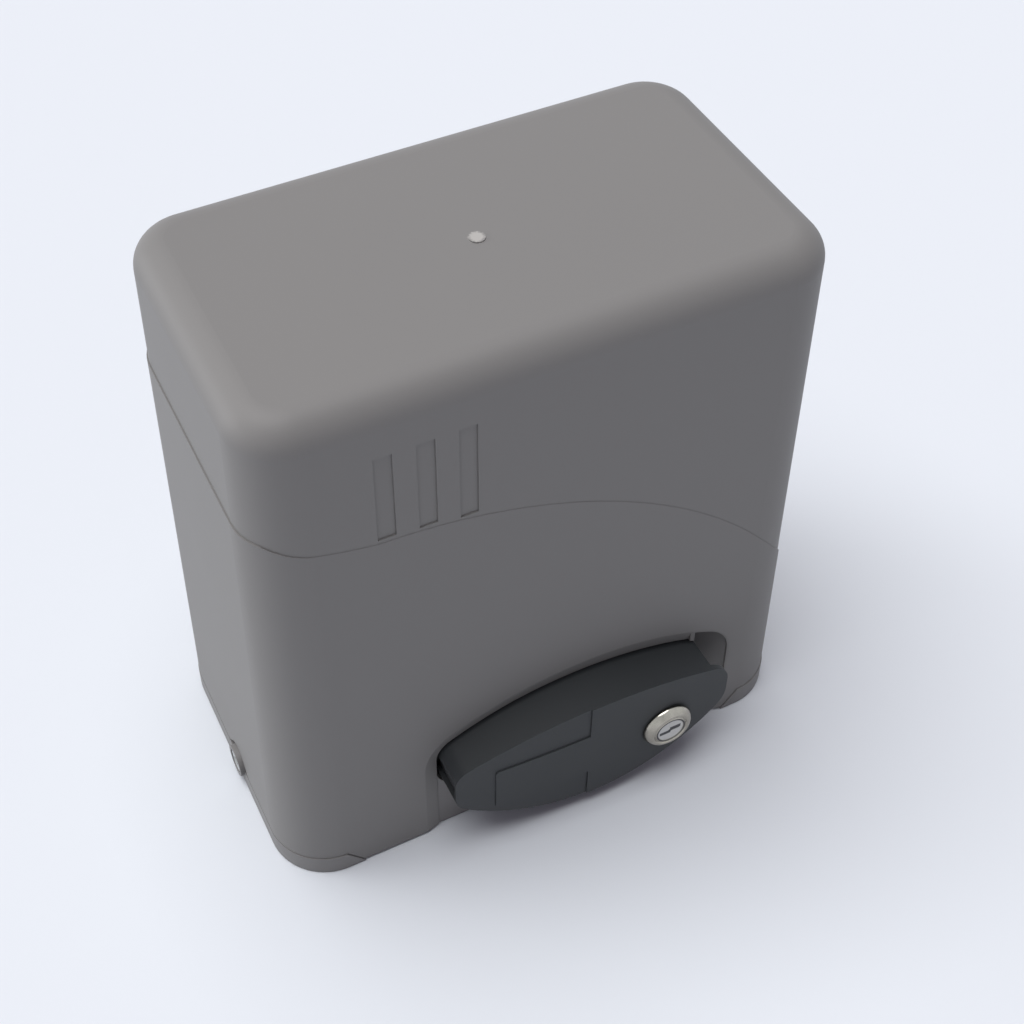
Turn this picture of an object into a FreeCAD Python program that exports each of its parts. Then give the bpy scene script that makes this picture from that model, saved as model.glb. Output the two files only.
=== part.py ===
"""Sliding gate motor: a moulded cover over a cast base with a worm gearbox, motor, control board and release.

Millimetres. X runs right along the front, Y from front (-) to gate side (+), Z up. The origin is the base's
underside, at the middle of its plan.
"""
import FreeCAD
import Part

import math
import os

V = FreeCAD.Vector
AX_X, AX_Y, AX_Z = V(1, 0, 0), V(0, 1, 0), V(0, 0, 1)

# ---------------------------------------------------------------- driving dimensions
# Clearances
SEAT_GAP = 0.3            # between pieces that rest on or stand beside each other
RUN_GAP = 0.05            # radial running clearance of shafts, pins and bearings
MESH_GAP = 0.6            # working clearance of the clutch and other sliding parts

# Cover
COVER_TOP_W = 260.0       # width and depth at the flat top
COVER_TOP_D = 146.0
COVER_TOP_Z = 291.5       # height of the top above the ground
COVER_DRAFT = 0.0142      # slope of the side walls, mm per mm
COVER_CORNER_R = 24.0     # upright corners, at the top
COVER_TOP_R = 14.0        # rounding between the top and the walls
COVER_WALL = 3.0
COVER_SIDE_STEP = 0.6     # how far the lower field stands proud at the ends
COVER_FRONT_STEP = 0.2    # and on the front and back
SKIRT_Z = 1.0             # the front skirt's height above the ground
SKIRT_HALF = 98.0         # half width of the front skirt, along its lower edge
SKIRT_SLOPE = 9.0         # run of its slanted ends

# Styling line between the two fields: level at the left, then a long arc falling to the right
LINE_LEFT_Z = 229.5
LINE_ARC_X = -85.9
LINE_ARC_Z = -32.9
LINE_ARC_R = 250.2
LINE_ARC_START_X = -80.0
LINE_BEND_X = -125.0      # where the level run starts to bend down
LINE_GROOVE_W = 0.9
LINE_GROOVE_DEPTH = 0.7

# Three upright flutes above the line
FLUTE_COUNT = 3
FLUTE_X = -76.4           # middle of the first
FLUTE_PITCH = 17.9
FLUTE_W = 8.0
FLUTE_TOP_Z = 263.8
FLUTE_DEPTH = 0.7

GATE_MARK_R = 3.6         # moulding mark on the top
GATE_MARK_X = -3.0
GATE_MARK_Y = -3.5
GATE_MARK_H = 0.5

# Release handle: a lens-shaped face plate on a hollow neck
HANDLE_X = 15.0           # middle of the lens
HANDLE_LEFT_X = -57.5
HANDLE_RIGHT_X = 87.0
HANDLE_TOP_Z = 77.0
HANDLE_BOTTOM_Z = 9.0
HANDLE_TOP_R = 171.5
HANDLE_BOTTOM_R = 104.0
HANDLE_LEFT_R = 10.0      # rounded ends
HANDLE_RIGHT_R = 14.0
HANDLE_STAND = 19.6       # face plate in front of the cover
HANDLE_BOW_R = 850.0      # the face plate is bowed about an upright axis
PLATE_T = 5.5
NECK_RIGHT_X = 77.5
NECK_WALL = 3.0
NECK_INSIDE = 6.0         # how far the neck reaches in behind the cover's face
FACE_SEAM_X = 10.2        # the face is a little lower left of this line
FACE_STEP = 0.7
PAD_LEFT_X = -38.0        # blank raised field left of the seam
PAD_TOP_Z = 56.0
PAD_BOTTOM_Z = 27.5
PAD_R = 1.5

# Recess in the cover round the handle
NICHE_LEFT_X = -65.0
NICHE_RIGHT_X = 97.5
NICHE_TOP_Z = 86.0
NICHE_TOP_R = 155.0
NICHE_CORNER_R = 22.0
NICHE_DEPTH = 1.8
NICHE_BEVEL_W = 6.5
OPENING_GAP = 1.6         # round the neck
SCOOP_DEPTH = 11.0        # finger pocket at the right end
SCOOP_WALL = 2.4
SCOOP_LOW_Z = 14.0
SCOOP_IN = 0.3            # its edge inside the recess's

# Handle hinge and lock
HINGE_X = -50.5
HINGE_OUT = 9.41          # the pin's axis in front of the cover's face
HINGE_Z = 48.0
HINGE_PIN_R = 2.5
HINGE_LUG_H = 12.0
HINGE_LUG_R = 4.6
HINGE_PIN_L = 21.0
HINGE_REACH = 18.0        # from the pin back to the bracket's post
LOCK_X = 52.5
LOCK_Z = 39.5
LOCK_RING_R = 13.0
LOCK_FACE_R = 8.8
LOCK_RING_H = 4.0
LOCK_BARREL_R = 9.0
LOCK_PLUG_R = 6.8
LOCK_SEAT_GAP = 0.05      # behind the rosette's rim
LOCK_BACK_IN = 13.0       # rear end of the lock, behind the cover's face
KEYWAY_L = 9.5
KEYWAY_W = 1.8
LOCK_CAM_W = 7.0
LOCK_CAM_L = 19.0
LOCK_CAM_T = 2.5
LOCK_NUT_R = 13.0
LOCK_NUT_T = 4.0

# Base
BASE_FLANGE_H = 11.0
BASE_STEP = 0.6           # base edge in front of the cover's face
BASE_WEB = 6.0            # thickness over the hollows underneath
SLOT_IN_X = 20.0          # foot slots, in from the edges of the flat top
SLOT_IN_Y = 18.0
SLOT_L = 24.0
SLOT_R = 4.5
LEVEL_IN_X = 42.0         # levelling screws, likewise
LEVEL_IN_Y = 15.0
LEVEL_R = 4.0
CABLE_SHIFT = 1.5         # cable entry, left of the middle between the gearbox and the end
CABLE_Y = 20.0
CABLE_R = 15.0
GLAND_BORE_R = 8.0
SIDE_SCREW_Y = -6.0       # screws that hold the cover, one at each end
SIDE_SCREW_Z = 11.5
SIDE_BOSS_R = 8.0
SIDE_BOSS_OUT = 2.6
SIDE_SCREW_R = 3.0
NOTCH_GAP = 1.6           # round the boss

# Gears: a worm on the motor shaft, a bronze wheel, and the rack pinion outside the back
OUT_X = 15.0              # output axis
OUT_Z = 58.0
GEAR_MODULE = 2.5
TOOTH_HALF = 1.6          # half thickness of a wheel tooth, and of the worm's thread, at the pitch line
THREAD_HALF = 1.65
WHEEL_TEETH = 30
WORM_PITCH_R = 11.0
WHEEL_SET = 67.5          # front of the wheel, in front of the gearbox's back
WHEEL_W = 16.0
WHEEL_TWIST_SIGN = -1     # hand of the worm: -1 is right-handed
PINION_MODULE = 4.0
PINION_TEETH = 16
PINION_W = 28.0
PINION_GAP = 5.0          # from the rear plate to the pinion
SHAFT_R = 12.5
BEARING_OUT_R = 23.5      # output shaft bearings
BEARING_W = 12.0
SEAL_R = 20.0
SEAL_W = 7.0

# Gearbox casting
BOX_INSET = 3.5           # its back, in from the edge of the flat top
BOX_DEPTH = 95.5
BOX_FOOT_LEFT = 35.0      # reach of the feet, left of the worm and right of the wheel's axis
BOX_FOOT_RIGHT = 50.0
BOX_TOP_Z = 106.0
REAR_PLATE_HALF = 49.0
REAR_PLATE_TOP_Z = 142.0
COVER_PLATE_T = 8.0

# Motor, upright over the worm
MOTOR_R = 52.0
BELL_LOW_H = 22.0
STACK_H = 68.0
BELL_HIGH_H = 26.0
ROTOR_R = 29.0
AIR_GAP = 0.5
MOTOR_SHAFT_R = 7.5
WORM_Z0 = 36.0
WORM_Z1 = 80.0

# Release clutch along the output axis
CLUTCH_R = 21.0
CLUTCH_L = 12.0
CLUTCH_DOGS = 4
DOG_H = 4.0
CLUTCH_TRAVEL = 6.0
PLUNGER_R = 4.0
PLUNGER_HEAD_R = 9.0
PLUNGER_HEAD_T = 4.0
PAD_IN = 10.6             # end of the handle's pad, behind the cover's face
SPRING_WIRE_R = 0.9
SPRING_PITCH = 4.05

# Limit switch wand behind
WAND_Z = 126.0
SNOUT_R = 9.0
WAND_SWING = 20.0         # degrees to each side
WAND_L = 30.0
WAND_R = 2.2

# Electrics
BOARD_X0 = 30.0           # the board's left edge
BOARD_IN = 12.0           # its right edge, in from the edge of the flat top
BOARD_Z0 = 128.0
BOARD_BELOW = 29.5        # its top edge, below the cover's top
BOARD_Y = -34.0
BOARD_T = 1.6
BOARD_GRID = 2.0          # layout grid of the board's parts
CARRIER_T = 2.5
CARRIER_RIM = 4.0         # its rim outside the board's edge
CARRIER_LEG_GAP = 0.6     # from the gearbox to the nearer leg
CAP_SET = 28.0            # in front of the levelling screw behind it
CAP_R = 19.0
CAP_H = 72.0
CAP_SHIFT = 1.0           # right of the middle between the wall and the gearbox
CLIP_WALL = 3.0
TRAFO_Y = -8.0
TRAFO_Z0 = 13.5
TRAFO_GAP = 1.5           # from the gearbox's feet to the transformer's
TRAFO_FOOT = 3.0
TRAFO_IN = 13.5           # free at the end wall, for the cover screw
TRAFO_D = 34.0
TRAFO_H = 46.0
TRAFO_LIMB = 9.0          # half thickness of the core, and the height of its yokes

# ---------------------------------------------------------------- derived places
BACK_EDGE_Y = COVER_TOP_D / 2
SIDE_EDGE_X = COVER_TOP_W / 2
BOX_BACK_Y = BACK_EDGE_Y - BOX_INSET
BOX_FRONT_Y = BOX_BACK_Y - BOX_DEPTH
WHEEL_Y0 = BOX_BACK_Y - WHEEL_SET
WORM_X = OUT_X - GEAR_MODULE * WHEEL_TEETH / 2 - WORM_PITCH_R
WORM_Y = WHEEL_Y0 + WHEEL_W / 2
FRONT_Y = -(COVER_TOP_D / 2 + (COVER_TOP_Z - HANDLE_TOP_Z / 2) * COVER_DRAFT)
PLATE_Y = FRONT_Y - HANDLE_STAND
COVER_EDGE_Z = BASE_FLANGE_H + SEAT_GAP
NECK_BACK_Y = FRONT_Y + NECK_INSIDE
HINGE_Y = FRONT_Y - HINGE_OUT
LOCK_BACK_Y = FRONT_Y + LOCK_BACK_IN
HANDLE_PAD_Y = FRONT_Y + PAD_IN
SLOT_X = SIDE_EDGE_X - SLOT_IN_X
SLOT_Y = BACK_EDGE_Y - SLOT_IN_Y
LEVEL_X = SIDE_EDGE_X - LEVEL_IN_X
LEVEL_Y = BACK_EDGE_Y - LEVEL_IN_Y
CABLE_X = (OUT_X + BOX_FOOT_RIGHT + SIDE_EDGE_X) / 2 - CABLE_SHIFT
CAP_Y = LEVEL_Y - CAP_SET
BOARD_X1 = SIDE_EDGE_X - BOARD_IN
BOARD_Z1 = COVER_TOP_Z - BOARD_BELOW
CAP_X = (WORM_X - BOX_FOOT_LEFT - SIDE_EDGE_X) / 2 + CAP_SHIFT
TRAFO_X0 = OUT_X + BOX_FOOT_RIGHT + TRAFO_GAP + TRAFO_FOOT
TRAFO_W = SIDE_EDGE_X - TRAFO_IN - TRAFO_FOOT - TRAFO_X0
TRAFO_X = TRAFO_X0 + TRAFO_W / 2


# ---------------------------------------------------------------- shape helpers
def box(x0, x1, y0, y1, z0, z1):
    """A block between two opposite corners."""
    return Part.makeBox(x1 - x0, y1 - y0, z1 - z0, V(x0, y0, z0))


def rod(radius, start, length, axis=AX_Z):
    """A round bar from start along axis."""
    return Part.makeCylinder(radius, length, V(*start), axis)


def above(z):
    """All the space above a height."""
    return box(-2 * COVER_TOP_W, 2 * COVER_TOP_W, -2 * COVER_TOP_W, 2 * COVER_TOP_W, z, 2 * COVER_TOP_Z)


def hexagon(middle, axis, radius):
    """A six-sided face about a point."""
    return Part.Face(Part.makePolygon([middle + spoke(axis, radius, 60 * i) for i in range(7)]))


def ring(outer, inner, start, length, axis=AX_Z):
    """A round tube from start along axis."""
    return rod(outer, start, length, axis).cut(rod(inner, start, length, axis))


def fuse(*shapes):
    """One solid from several touching ones, with the joints between flush faces taken out."""
    return shapes[0].multiFuse(list(shapes[1:])).removeSplitter()


def group(shapes):
    """Separate solids kept together as one piece."""
    return Part.makeCompound(shapes)


def rounded_wire(half_w, half_d, radius, z, cx=0.0, cy=0.0):
    """A rectangle with round corners in the level plane at z."""
    k = radius * (1 - math.sqrt(0.5))
    edges = []
    for sx, sy in ((1, 1), (-1, 1), (-1, -1), (1, -1)):
        a = V(cx + sx * half_w, cy + sy * (half_d - radius), z)
        m = V(cx + sx * (half_w - k), cy + sy * (half_d - k), z)
        b = V(cx + sx * (half_w - radius), cy + sy * half_d, z)
        edges.append((a, m, b) if sx == sy else (b, m, a))
    parts = []
    for i, (a, m, b) in enumerate(edges):
        parts.append(Part.Arc(a, m, b).toShape())
        parts.append(Part.LineSegment(b, edges[(i + 1) % 4][0]).toShape())
    return Part.Wire(parts)


def rounded_prism(half_w, half_d, radius, z0, z1, cx=0.0, cy=0.0):
    """An upright block with round corners."""
    face = Part.Face(rounded_wire(half_w, half_d, radius, z0, cx, cy))
    return face.extrude(V(0, 0, z1 - z0))


def slot_prism(length, radius, z0, z1, cx, cy):
    """An upright block with half-round ends, its length along X."""
    reach = length / 2 - radius
    ends = [rod(radius, (cx + side * reach, cy, z0), z1 - z0) for side in (-1, 1)]
    return fuse(box(cx - reach, cx + reach, cy - radius, cy + radius, z0, z1), *ends)


def fillet_where(shape, radius, test):
    """Round the edges whose middle point passes the test."""
    edges = [e for e in shape.Edges if test(e.CenterOfMass, e)]
    return shape.makeFillet(radius, edges)


def along(edge, axis):
    """Whether an edge is straight and runs along axis."""
    if edge.Curve.TypeId != "Part::GeomLine":
        return False
    return abs(edge.Curve.Direction.dot(axis)) > 0.999


def turn_about(shape, centre, axis, degrees):
    """A copy turned about an axis through centre."""
    copy = shape.copy()
    copy.rotate(V(*centre), axis, degrees)
    return copy


def screw(head_r, head_h, shank_r, shank_l, start, axis, socket_r=0.0):
    """A cap screw whose head's underside is at start and whose shank runs along axis."""
    back = V(*start) - axis * head_h
    body = fuse(Part.makeCylinder(head_r, head_h, back, axis), rod(shank_r, start, shank_l, axis))
    if socket_r:
        body = body.cut(hexagon(back, axis, socket_r).extrude(axis * (head_h * 0.6)))
    return body


def spoke(axis, radius, degrees):
    """A vector of a given length square to axis."""
    side = AX_Z if abs(axis.z) < 0.9 else AX_X
    other = axis.cross(side)
    angle = math.radians(degrees)
    return side * (radius * math.cos(angle)) + other * (radius * math.sin(angle))


# ---------------------------------------------------------------- cover
def cover_half(z, inset=0.0):
    """Half width, half depth and corner radius of the cover at a height, inset by a wall."""
    grow = (COVER_TOP_Z - z) * COVER_DRAFT - inset
    return COVER_TOP_W / 2 + grow, COVER_TOP_D / 2 + grow, COVER_CORNER_R + grow


def drafted_block(z0, z1, inset, top_r, extra_w=0.0, extra_d=0.0):
    """The cover's drafted, round-cornered form between two heights."""
    wires = []
    for z in (z0, z1):
        half_w, half_d, corner = cover_half(z, inset)
        wires.append(rounded_wire(half_w + extra_w, half_d + extra_d, corner, z))
    block = Part.makeLoft(wires, True, True)
    if top_r:
        block = fillet_where(block, top_r, lambda c, e: abs(c.z - z1) < 0.01)
    return block


def line_point(x):
    """Height of the styling line's long arc at x."""
    return LINE_ARC_Z + math.sqrt(LINE_ARC_R ** 2 - (x - LINE_ARC_X) ** 2)


def line_edges(shift=0.0):
    """The styling line seen from the front, moved up by shift."""
    left = -COVER_TOP_W
    right = cover_half(0)[0] + 4
    mid_x = (LINE_BEND_X + LINE_ARC_START_X) / 2
    bend = V(LINE_BEND_X, 0, LINE_LEFT_Z + shift)
    start = V(LINE_ARC_START_X, 0, line_point(LINE_ARC_START_X) + shift)
    middle = V(mid_x - 2, 0, (bend.z + start.z) / 2 - 0.8)
    over = V((LINE_ARC_START_X + right) / 2, 0, line_point((LINE_ARC_START_X + right) / 2) + shift)
    end = V(right, 0, line_point(right) + shift)
    return [
        Part.LineSegment(V(left, 0, bend.z), bend).toShape(),
        Part.Arc(bend, middle, start).toShape(),
        Part.Arc(start, over, end).toShape(),
    ], V(left, 0, bend.z), end


def below_line():
    """Everything under the styling line."""
    edges, first, last = line_edges()
    low_right, low_left = V(last.x, 0, -50), V(first.x, 0, -50)
    closing = [Part.LineSegment(a, b).toShape() for a, b in
               ((last, low_right), (low_right, low_left), (low_left, first))]
    face = Part.Face(Part.Wire(edges + closing))
    face.translate(V(0, -COVER_TOP_D, 0))
    return face.extrude(V(0, 2 * COVER_TOP_D, 0))


def line_band():
    """A narrow band along the styling line."""
    lower, a0, a1 = line_edges(-LINE_GROOVE_W / 2)
    upper, b0, b1 = line_edges(LINE_GROOVE_W / 2)
    ends = [Part.LineSegment(a1, b1).toShape(), Part.LineSegment(b0, a0).toShape()]
    face = Part.Face(Part.Wire(Part.__sortEdges__(lower + upper + ends)))
    face.translate(V(0, -COVER_TOP_D, 0))
    return face.extrude(V(0, 2 * COVER_TOP_D, 0))


def lens(left, right, grow, y0, y1, left_r, right_r):
    """A lens-shaped block between two arcs, with rounded ends, seen from the front."""
    top_z, low_z = HANDLE_TOP_Z + grow, HANDLE_BOTTOM_Z - grow
    top_r, low_r = HANDLE_TOP_R + grow, HANDLE_BOTTOM_R + grow
    body = rod(top_r, (HANDLE_X, y0, top_z - top_r), y1 - y0, AX_Y)
    body = body.common(rod(low_r, (HANDLE_X, y0, low_z + low_r), y1 - y0, AX_Y))
    body = body.common(box(left - grow, right + grow, y0, y1, low_z - 5, top_z + 5))
    body = fillet_where(body, left_r + grow, lambda c, e: along(e, AX_Y) and c.x < HANDLE_X)
    if right_r:
        body = fillet_where(body, right_r + grow, lambda c, e: along(e, AX_Y) and c.x > HANDLE_X)
    return body


def niche_outline(grow, y0, y1):
    """The arch round the handle: upright sides, a wide arc on top, open at the ground."""
    mid_x = (NICHE_LEFT_X + NICHE_RIGHT_X) / 2
    top_r = NICHE_TOP_R + grow
    arch = rod(top_r, (mid_x, y0, NICHE_TOP_Z + grow - top_r), y1 - y0, AX_Y)
    arch = arch.common(box(NICHE_LEFT_X - grow, NICHE_RIGHT_X + grow, y0, y1, -20, NICHE_TOP_Z + 20))
    return fillet_where(arch, NICHE_CORNER_R + grow, lambda c, e: along(e, AX_Y) and c.z > 0)


def opening_block(grow, y0, y1):
    """The hole in the cover that the handle's neck passes through, open at the ground."""
    neck = lens(HANDLE_LEFT_X, NECK_RIGHT_X, grow, y0, y1, HANDLE_LEFT_R, 0)
    under = box(HANDLE_LEFT_X - grow, NECK_RIGHT_X + grow, y0, y1, -20, HINGE_Z)
    return neck.fuse(under).removeSplitter()


def niche_recess():
    """The shallow bevelled recess: the arch at the cover's face, drawn in to the opening's outline."""
    y_deep = FRONT_Y + NICHE_DEPTH
    y_out = FRONT_Y - NICHE_DEPTH
    outer = front_wire(niche_outline(NICHE_BEVEL_W, y_out, y_out + 1), y_out)
    inner = front_wire(niche_outline(-NICHE_BEVEL_W, y_deep, y_deep + 1), y_deep)
    return lean(Part.makeLoft([outer, inner], True, True))


def lean(shape):
    """Tip a shape drawn square to the ground so that it lies along the drafted front."""
    return turn_about(shape, (0, FRONT_Y, HANDLE_TOP_Z / 2), AX_X, -math.degrees(COVER_DRAFT))


def front_wire(block, y):
    """The outline of a block's face in the upright plane at y."""
    for face in block.Faces:
        if abs(face.CenterOfMass.y - y) < 0.001:
            return face.OuterWire
    raise ValueError("no face in that plane")


def scoop_block(grow):
    """The finger pocket beside the neck: it slants in from the recess's right edge and keeps its round corner."""
    x0, x1 = NECK_RIGHT_X + OPENING_GAP - 2 - grow, NICHE_RIGHT_X + grow
    y0, y1 = FRONT_Y - 2, FRONT_Y + SCOOP_DEPTH + grow
    points = [V(x0, y0, 0), V(x1, y0, 0), V(x1, FRONT_Y + 1, 0), V(x0 + 8, y1, 0), V(x0, y1, 0), V(x0, y0, 0)]
    face = Part.Face(Part.makePolygon(points))
    face.translate(V(0, 0, SCOOP_LOW_Z - grow))
    block = face.extrude(V(0, 0, NICHE_TOP_Z + grow))
    block = fillet_where(block, 5 + grow, lambda c, e: c.y > FRONT_Y + 2 and c.x > x0 + 0.5
                         and c.z < SCOOP_LOW_Z + 1 and not along(e, AX_Z))
    return block.common(niche_outline(grow - SCOOP_IN, y0 - 1, y1 + 1))


def skirt_keepout(grow):
    """The space between the base's edge and the ground that only the front skirt may fill."""
    low, high = SKIRT_HALF + grow, SKIRT_HALF + SKIRT_SLOPE + grow
    y0, y1 = -COVER_TOP_D, cover_front_inner() + grow
    z1 = BASE_FLANGE_H + 5
    points = [V(-low, y0, -5), V(low, y0, -5), V(low, y0, 0), V(high, y0, BASE_FLANGE_H), V(high, y0, z1),
              V(-high, y0, z1), V(-high, y0, BASE_FLANGE_H), V(-low, y0, 0), V(-low, y0, -5)]
    return Part.Face(Part.makePolygon(points)).extrude(V(0, y1 - y0, 0))


def cover_front_inner():
    """The inside face of the front wall near the ground."""
    return -cover_half(0)[1] + COVER_WALL


def side_notch(side, grow):
    """The arch in the cover's end wall over the screw boss."""
    x0 = side * (cover_half(0)[0] - 12)
    radius = SIDE_BOSS_R + NOTCH_GAP + grow
    arch = rod(radius, (x0, SIDE_SCREW_Y, SIDE_SCREW_Z), 20, AX_X * side)
    flare = radius + 4
    points = [V(x0, SIDE_SCREW_Y - flare, -5), V(x0, SIDE_SCREW_Y + flare, -5),
              V(x0, SIDE_SCREW_Y + flare, COVER_EDGE_Z),
              V(x0, SIDE_SCREW_Y + radius * 0.8, SIDE_SCREW_Z + radius * 0.6),
              V(x0, SIDE_SCREW_Y - radius * 0.8, SIDE_SCREW_Z + radius * 0.6),
              V(x0, SIDE_SCREW_Y - flare, COVER_EDGE_Z), V(x0, SIDE_SCREW_Y - flare, -5)]
    skirt = Part.Face(Part.makePolygon(points)).extrude(AX_X * (20 * side))
    return arch.fuse(skirt)


def cover_tongue(side):
    """The slotted tongue inside the end wall that the screw clamps."""
    wall_in = cover_half(30)[0] - COVER_WALL
    face_x = boss_inner_x() - SEAT_GAP
    half = 11.0
    y0, y1 = SIDE_SCREW_Y - half, SIDE_SCREW_Y + half
    tongue = box(face_x - 3, face_x, y0, y1, COVER_EDGE_Z, 44)
    root = box(face_x - 3, wall_in + 1.5, y0, y1, 30, 44)
    body = fuse(tongue, root)
    slot_r = SIDE_SCREW_R + 0.4
    slot = rod(slot_r, (face_x - 5, SIDE_SCREW_Y, SIDE_SCREW_Z), 10, AX_X)
    mouth = box(face_x - 5, face_x + 5, SIDE_SCREW_Y - slot_r, SIDE_SCREW_Y + slot_r, 0, SIDE_SCREW_Z)
    body = body.cut(slot.fuse(mouth))
    if side < 0:
        body = body.mirror(V(0, 0, 0), AX_X)
    return body


def boss_inner_x():
    """The inside end of a side screw boss."""
    return cover_half(0)[0] - 7.5


def make_cover():
    """The one-piece moulded cover."""
    outer = drafted_block(0, COVER_TOP_Z, 0, COVER_TOP_R)
    lower = drafted_block(0, LINE_LEFT_Z + 4, 0, 0, COVER_SIDE_STEP, COVER_FRONT_STEP).common(below_line())
    body = outer.fuse(lower)
    band_ring = drafted_block(0, LINE_LEFT_Z + 4, 0, 0, 3, 3).cut(
        drafted_block(0, LINE_LEFT_Z + 4, 0, 0, COVER_SIDE_STEP - LINE_GROOVE_DEPTH, 0.05))
    body = body.cut(band_ring.common(line_band()))
    y_wall = -cover_half(FLUTE_TOP_Z)[1]
    for i in range(FLUTE_COUNT):
        x = FLUTE_X + i * FLUTE_PITCH
        z0 = line_point(x) + 1.5
        flute = box(x - FLUTE_W / 2, x + FLUTE_W / 2, y_wall - 5, y_wall + FLUTE_DEPTH, z0, FLUTE_TOP_Z)
        flute = turn_about(flute, (x, y_wall + FLUTE_DEPTH, FLUTE_TOP_Z), AX_X, -math.degrees(COVER_DRAFT))
        body = body.cut(flute)
    body = body.cut(niche_recess())
    hollow = drafted_block(-5, COVER_TOP_Z - COVER_WALL, COVER_WALL, COVER_TOP_R - COVER_WALL)
    pocket = scoop_block(SCOOP_WALL).common(drafted_block(0, COVER_TOP_Z, 0.2, 0))
    pocket = pocket.cut(scoop_block(0))
    body = body.cut(hollow).cut(scoop_block(0))
    lining = lean(niche_outline(2.0, FRONT_Y - 2, FRONT_Y + NICHE_DEPTH + COVER_WALL))
    lining = lining.common(drafted_block(0, COVER_TOP_Z, 0.2, 0)).cut(niche_recess()).cut(scoop_block(0))
    body = body.fuse(pocket).fuse(lining)
    body = body.cut(opening_block(OPENING_GAP, FRONT_Y - 12, FRONT_Y + 30))
    body = body.cut(rear_opening(SEAT_GAP + 0.7))
    ground = box(-200, 200, -120, 120, -10, COVER_EDGE_Z)
    skirt = box(-200, 200, -120, 0, SKIRT_Z, 20).common(skirt_keepout(-SEAT_GAP))
    body = body.cut(ground.cut(skirt))
    for side in (1, -1):
        body = body.cut(side_notch(side, 0))
        body = body.fuse(cover_tongue(side))
    mark = rod(GATE_MARK_R, (GATE_MARK_X, GATE_MARK_Y, COVER_TOP_Z - 1), 1 + GATE_MARK_H)
    return body.fuse(mark)


def rear_opening(grow):
    """The arch at the back that the gearbox's rear plate stands in."""
    half = REAR_PLATE_HALF + grow
    y0, y1 = BOX_BACK_Y - 1, COVER_TOP_D
    body = box(OUT_X - half, OUT_X + half, y0, y1, -20, REAR_PLATE_TOP_Z + grow)
    return fillet_where(body, 16 + grow, lambda c, e: along(e, AX_Y) and c.z > 0)


# ---------------------------------------------------------------- base
def make_base():
    """The cast base: a flange under the cover's edge, hollow underneath, with a screw boss at each end."""
    half_w, half_d, corner = cover_half(0)
    half_w, half_d = half_w + BASE_STEP, half_d + BASE_STEP
    body = rounded_prism(half_w, half_d, corner, 0, BASE_FLANGE_H)
    body = body.cut(skirt_keepout(SEAT_GAP))
    body = body.cut(box(HANDLE_LEFT_X - 5, NECK_RIGHT_X + 5, -COVER_TOP_D, NECK_BACK_Y + 1, -1, 30))
    rim_out = rounded_prism(half_w - 4.6, half_d - 4.6, corner - 4.6, BASE_FLANGE_H, BASE_FLANGE_H + 7)
    rim_in = rounded_prism(half_w - 6.8, half_d - 6.8, corner - 6.8, BASE_FLANGE_H, BASE_FLANGE_H + 7)
    gap_front = box(-SKIRT_HALF - 14, SKIRT_HALF + 14, -COVER_TOP_D, 0, 0, 40)
    gap_back = box(OUT_X - REAR_PLATE_HALF - 6, OUT_X + REAR_PLATE_HALF + 6, 0, COVER_TOP_D, 0, 40)
    gap_side = box(-200, 200, SIDE_SCREW_Y - 13, SIDE_SCREW_Y + 13, 0, 40)
    body = body.fuse(rim_out.cut(rim_in).cut(gap_front).cut(gap_back).cut(gap_side))
    body = body.fuse(make_sill())
    for sx in (1, -1):
        body = body.fuse(side_boss(sx))
        for sy in (1, -1):
            body = body.cut(slot_prism(SLOT_L, SLOT_R, -1, 30, sx * SLOT_X, sy * SLOT_Y))
            body = body.cut(rod(LEVEL_R, (sx * LEVEL_X, sy * LEVEL_Y, -1), 30))
    body = body.cut(rod(CABLE_R, (CABLE_X, CABLE_Y, -1), 30))
    depth = BASE_FLANGE_H - BASE_WEB
    for x0, x1 in ((-92, -50), (-42, -4), (4, 36), (44, 74)):
        for y0, y1 in ((-44, -6), (6, 44)):
            hollow = rounded_prism((x1 - x0) / 2, (y1 - y0) / 2, 4, -1, depth, (x0 + x1) / 2, (y0 + y1) / 2)
            body = body.cut(hollow)
    for x, y in box_feet():
        body = body.cut(rod(3.0, (x, y, BASE_WEB + 1), 20))
    return body


def make_sill():
    """The upstand on the base's front that closes the cover's opening under the handle's neck."""
    x0, x1 = HANDLE_LEFT_X - OPENING_GAP + SEAT_GAP, NECK_RIGHT_X + OPENING_GAP - SEAT_GAP
    y0, y1 = FRONT_Y + NICHE_DEPTH + 0.2, NECK_BACK_Y + 1.6
    sill = box(x0, x1, y0, y1, 0, HINGE_Z - HINGE_LUG_H / 2 - 2 * SEAT_GAP)
    return sill.cut(lens(HANDLE_LEFT_X, NECK_RIGHT_X, OPENING_GAP, y0 - 1, y1 + 1, HANDLE_LEFT_R, 0))


def side_boss(side):
    """The round boss in an end of the base that takes a cover screw."""
    length = cover_half(0)[0] + SIDE_BOSS_OUT - boss_inner_x()
    return rod(SIDE_BOSS_R, (side * boss_inner_x(), SIDE_SCREW_Y, SIDE_SCREW_Z), length, AX_X * side)


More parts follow.
